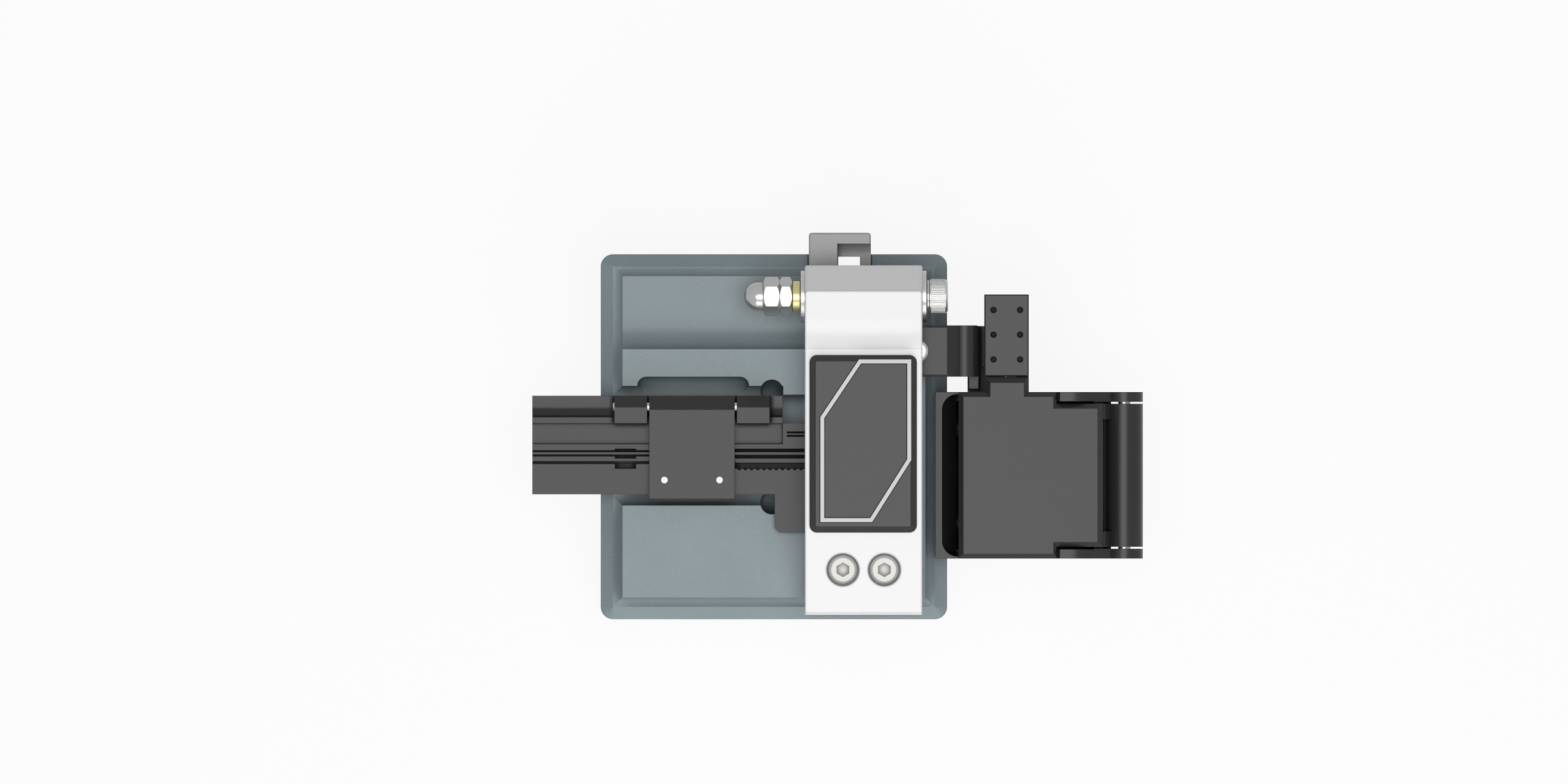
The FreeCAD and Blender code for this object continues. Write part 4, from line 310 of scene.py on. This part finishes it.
def meshFromTree(name, tree, values):
    # Runs a tree on an empty mesh and keeps the result as a plain mesh object at the origin
    piece = addObject(name, bpy.data.meshes.new(name))
    modifier = piece.modifiers.new(tree.name, "NODES")
    modifier.node_group = tree
    for socket in tree.interface.items_tree:
        if socket.in_out == "INPUT":
            modifier[socket.identifier] = values[socket.name]
    depsgraph = bpy.context.evaluated_depsgraph_get()
    mesh = bpy.data.meshes.new_from_object(piece.evaluated_get(depsgraph))
    piece.modifiers.remove(modifier)
    piece.data = mesh
    return piece


def makeKnurl():
    low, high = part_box("hinge_axle")
    headRadius = (high[1] - low[1]) / 2
    middle = high[0] - knurl["endChamfer"] - knurl["ribLength"] / 2
    return meshFromTree("axleKnurl", makeRibRing(), {
        "Rib Count": knurl["ribCount"], "Rib Sides": knurl["ribSides"],
        "Ring Radius": headRadius - knurl["sunk"], "Rib Radius": knurl["ribRadius"],
        "Rib Length": knurl["ribLength"], "Centre": (middle, (low[1] + high[1]) / 2, (low[2] + high[2]) / 2),
        "Finish": materials[knurl["finish"]]})


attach(makeKnurl(), "base")
print("knurl", knurl["ribCount"])

# Foot of the drive housing: a low shelf that closes the slits beside and before the crank, and the joint between the
# housing and the scrap box
housingFoot = {"thick": 0.001, "wallOverlap": 0.0006, "sideStrip": 0.0012, "beforeCrank": 0.0008,
               "underCrank": 0.0009, "jointLap": 0.00005, "finish": "black_anodised"}


def makeHousingFoot():
    housingLow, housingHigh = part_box("drive_housing")
    crankLow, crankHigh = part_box("crank_lever")
    lap = housingFoot["jointLap"]
    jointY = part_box("scrap_box")[1][1]
    frontY = crankLow[1] - housingFoot["beforeCrank"]
    innerY = crankLow[1] + housingFoot["underCrank"]
    left = housingLow[0] - housingFoot["sideStrip"]
    right = housingLow[0] + housingFoot["wallOverlap"]
    outline = [(crankLow[0], frontY), (right, frontY), (right, jointY - lap), (housingHigh[0] - lap, jointY - lap),
               (housingHigh[0] - lap, housingLow[1] + lap), (right, housingLow[1] + lap), (right, crankHigh[1]),
               (left, crankHigh[1]), (left, innerY), (crankLow[0], innerY)]
    foot = bpy.data.meshes.new("housingFoot")
    shape = bmesh.new()
    face = shape.faces.new([shape.verts.new((x, y, housingLow[2])) for x, y in outline])
    raised = bmesh.ops.extrude_face_region(shape, geom=[face])
    bmesh.ops.translate(shape, vec=(0.0, 0.0, housingFoot["thick"]),
                        verts=[v for v in raised["geom"] if isinstance(v, bmesh.types.BMVert)])
    bmesh.ops.recalc_face_normals(shape, faces=shape.faces)
    shape.to_mesh(foot)
    shape.free()
    foot.materials.append(materials[housingFoot["finish"]])
    return addObject("housingFoot", foot)


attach(makeHousingFoot(), "base")
print("housing foot")

# Springs of the clamp and the anvil, copied with their loose triangles joined and hung on the arm
springs = {
    "clampCoils": {"node": "clamp_springs", "joint": "upper_clamp_press", "travel": 0.001},
    "anvilCoil": {"node": "anvil_spring", "joint": "anvil_press", "travel": 0.0008},
}
mergeDistance = 1e-7


def copyMerged(name, node):
    # The node's own shape and slot, with its loose triangles joined
    coils = bpy.data.meshes.new(name)
    shape = bmesh.new()
    shape.from_mesh(nodes[node].data)
    bmesh.ops.remove_doubles(shape, verts=shape.verts, dist=mergeDistance)
    shape.to_mesh(coils)
    shape.free()
    coils.materials.append(materials[slotOf[node]])
    return addObject(name, coils)


for name, spring in springs.items():
    piece = copyMerged(name, spring["node"])
    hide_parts(spring["node"])
    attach(piece, "arm")
    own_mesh(piece)
print("springs", len(springs))

# Studio: a small key lamp almost straight above, a wide weak lamp low in front, a dim surround and a white floor
lamps = {
    "overheadKey": {"place": (0.01, -0.02, 0.57), "sides": (0.32, 0.32), "power": 1.5},
    "frontFill": {"place": (0.1, -0.49, 0.36), "sides": (0.5, 0.4), "power": 1.4},
}
studio = {"surround": 0.15, "surroundWhite": 1.0, "floorSide": 3.0, "floorColour": (0.98, 0.98, 0.98, 1.0),
          "floorRoughness": 0.9, "floorWhite": 0.9}
white = (1.0, 1.0, 1.0, 1.0)
for name, values in lamps.items():
    lamp = bpy.data.lights.new(name, "AREA")
    lamp.shape = "RECTANGLE"
    lamp.size, lamp.size_y = values["sides"]
    lamp.energy = values["power"]
    lampObject = addObject(name, lamp)
    lampObject.location = values["place"]
    lampObject.rotation_euler = (-Vector(values["place"])).to_track_quat("-Z", "Y").to_euler()


def showWhite(tree, plain, share):
    # Camera, mirror and glass rays see plain white for that share, and all other light sees the plain shader
    seen = tree.nodes.new("ShaderNodeLightPath").outputs
    direct = mathNode(tree, "MAXIMUM", seen["Is Camera Ray"], seen["Is Glossy Ray"])
    direct = mathNode(tree, "MAXIMUM", direct, seen["Is Transmission Ray"])
    glow = setInputs(tree.nodes.new("ShaderNodeEmission"), {"Color": white, "Strength": 1.0})
    chosen = tree.nodes.new("ShaderNodeMixShader")
    tree.links.new(mathNode(tree, "MULTIPLY", direct, share), chosen.inputs["Fac"])
    tree.links.new(plain, chosen.inputs[1])
    tree.links.new(glow.outputs["Emission"], chosen.inputs[2])
    return chosen.outputs["Shader"]


world = bpy.data.worlds.new("studioSurround")
world.use_nodes = True
bpy.context.scene.world = world
surround = setInputs(world.node_tree.nodes["Background"], {"Color": white, "Strength": studio["surround"]})
shown = showWhite(world.node_tree, surround.outputs["Background"], studio["surroundWhite"])
world.node_tree.links.new(shown, world.node_tree.nodes["World Output"].inputs["Surface"])

floorMesh = bpy.data.meshes.new("floor")
half = studio["floorSide"] / 2
floorMesh.from_pydata([(-half, -half, 0), (half, -half, 0), (half, half, 0), (-half, half, 0)], [], [(0, 1, 2, 3)])
floorPaint = bpy.data.materials.new("floorPaint")
floorPaint.use_nodes = True
floorTree = floorPaint.node_tree
paint = setInputs(floorTree.nodes["Principled BSDF"],
                  {"Base Color": studio["floorColour"], "Roughness": studio["floorRoughness"]})
shown = showWhite(floorTree, paint.outputs["BSDF"], studio["floorWhite"])
floorTree.links.new(shown, floorTree.nodes["Material Output"].inputs["Surface"])
floorMesh.materials.append(floorPaint)
floor = addObject("floor", floorMesh)

# Camera: straight down, as the photograph, at 10.1 pixels to the millimetre over its width of 2560 pixels
photo = {"pixelsPerMm": 10.1, "width": 2560, "centre": (0.00163, 0.00723), "height": 0.4, "clip": (0.01, 10.0)}
camera = bpy.data.cameras.new("photoCamera")
camera.type = "ORTHO"
camera.ortho_scale = photo["width"] / photo["pixelsPerMm"] / 1000
camera.clip_start, camera.clip_end = photo["clip"]
cameraObject = addObject("photoCamera", camera)
cameraObject.location = (*photo["centre"], photo["height"])
bpy.context.scene.camera = cameraObject
bpy.context.scene.view_settings.view_transform = "Standard"
print("studio")
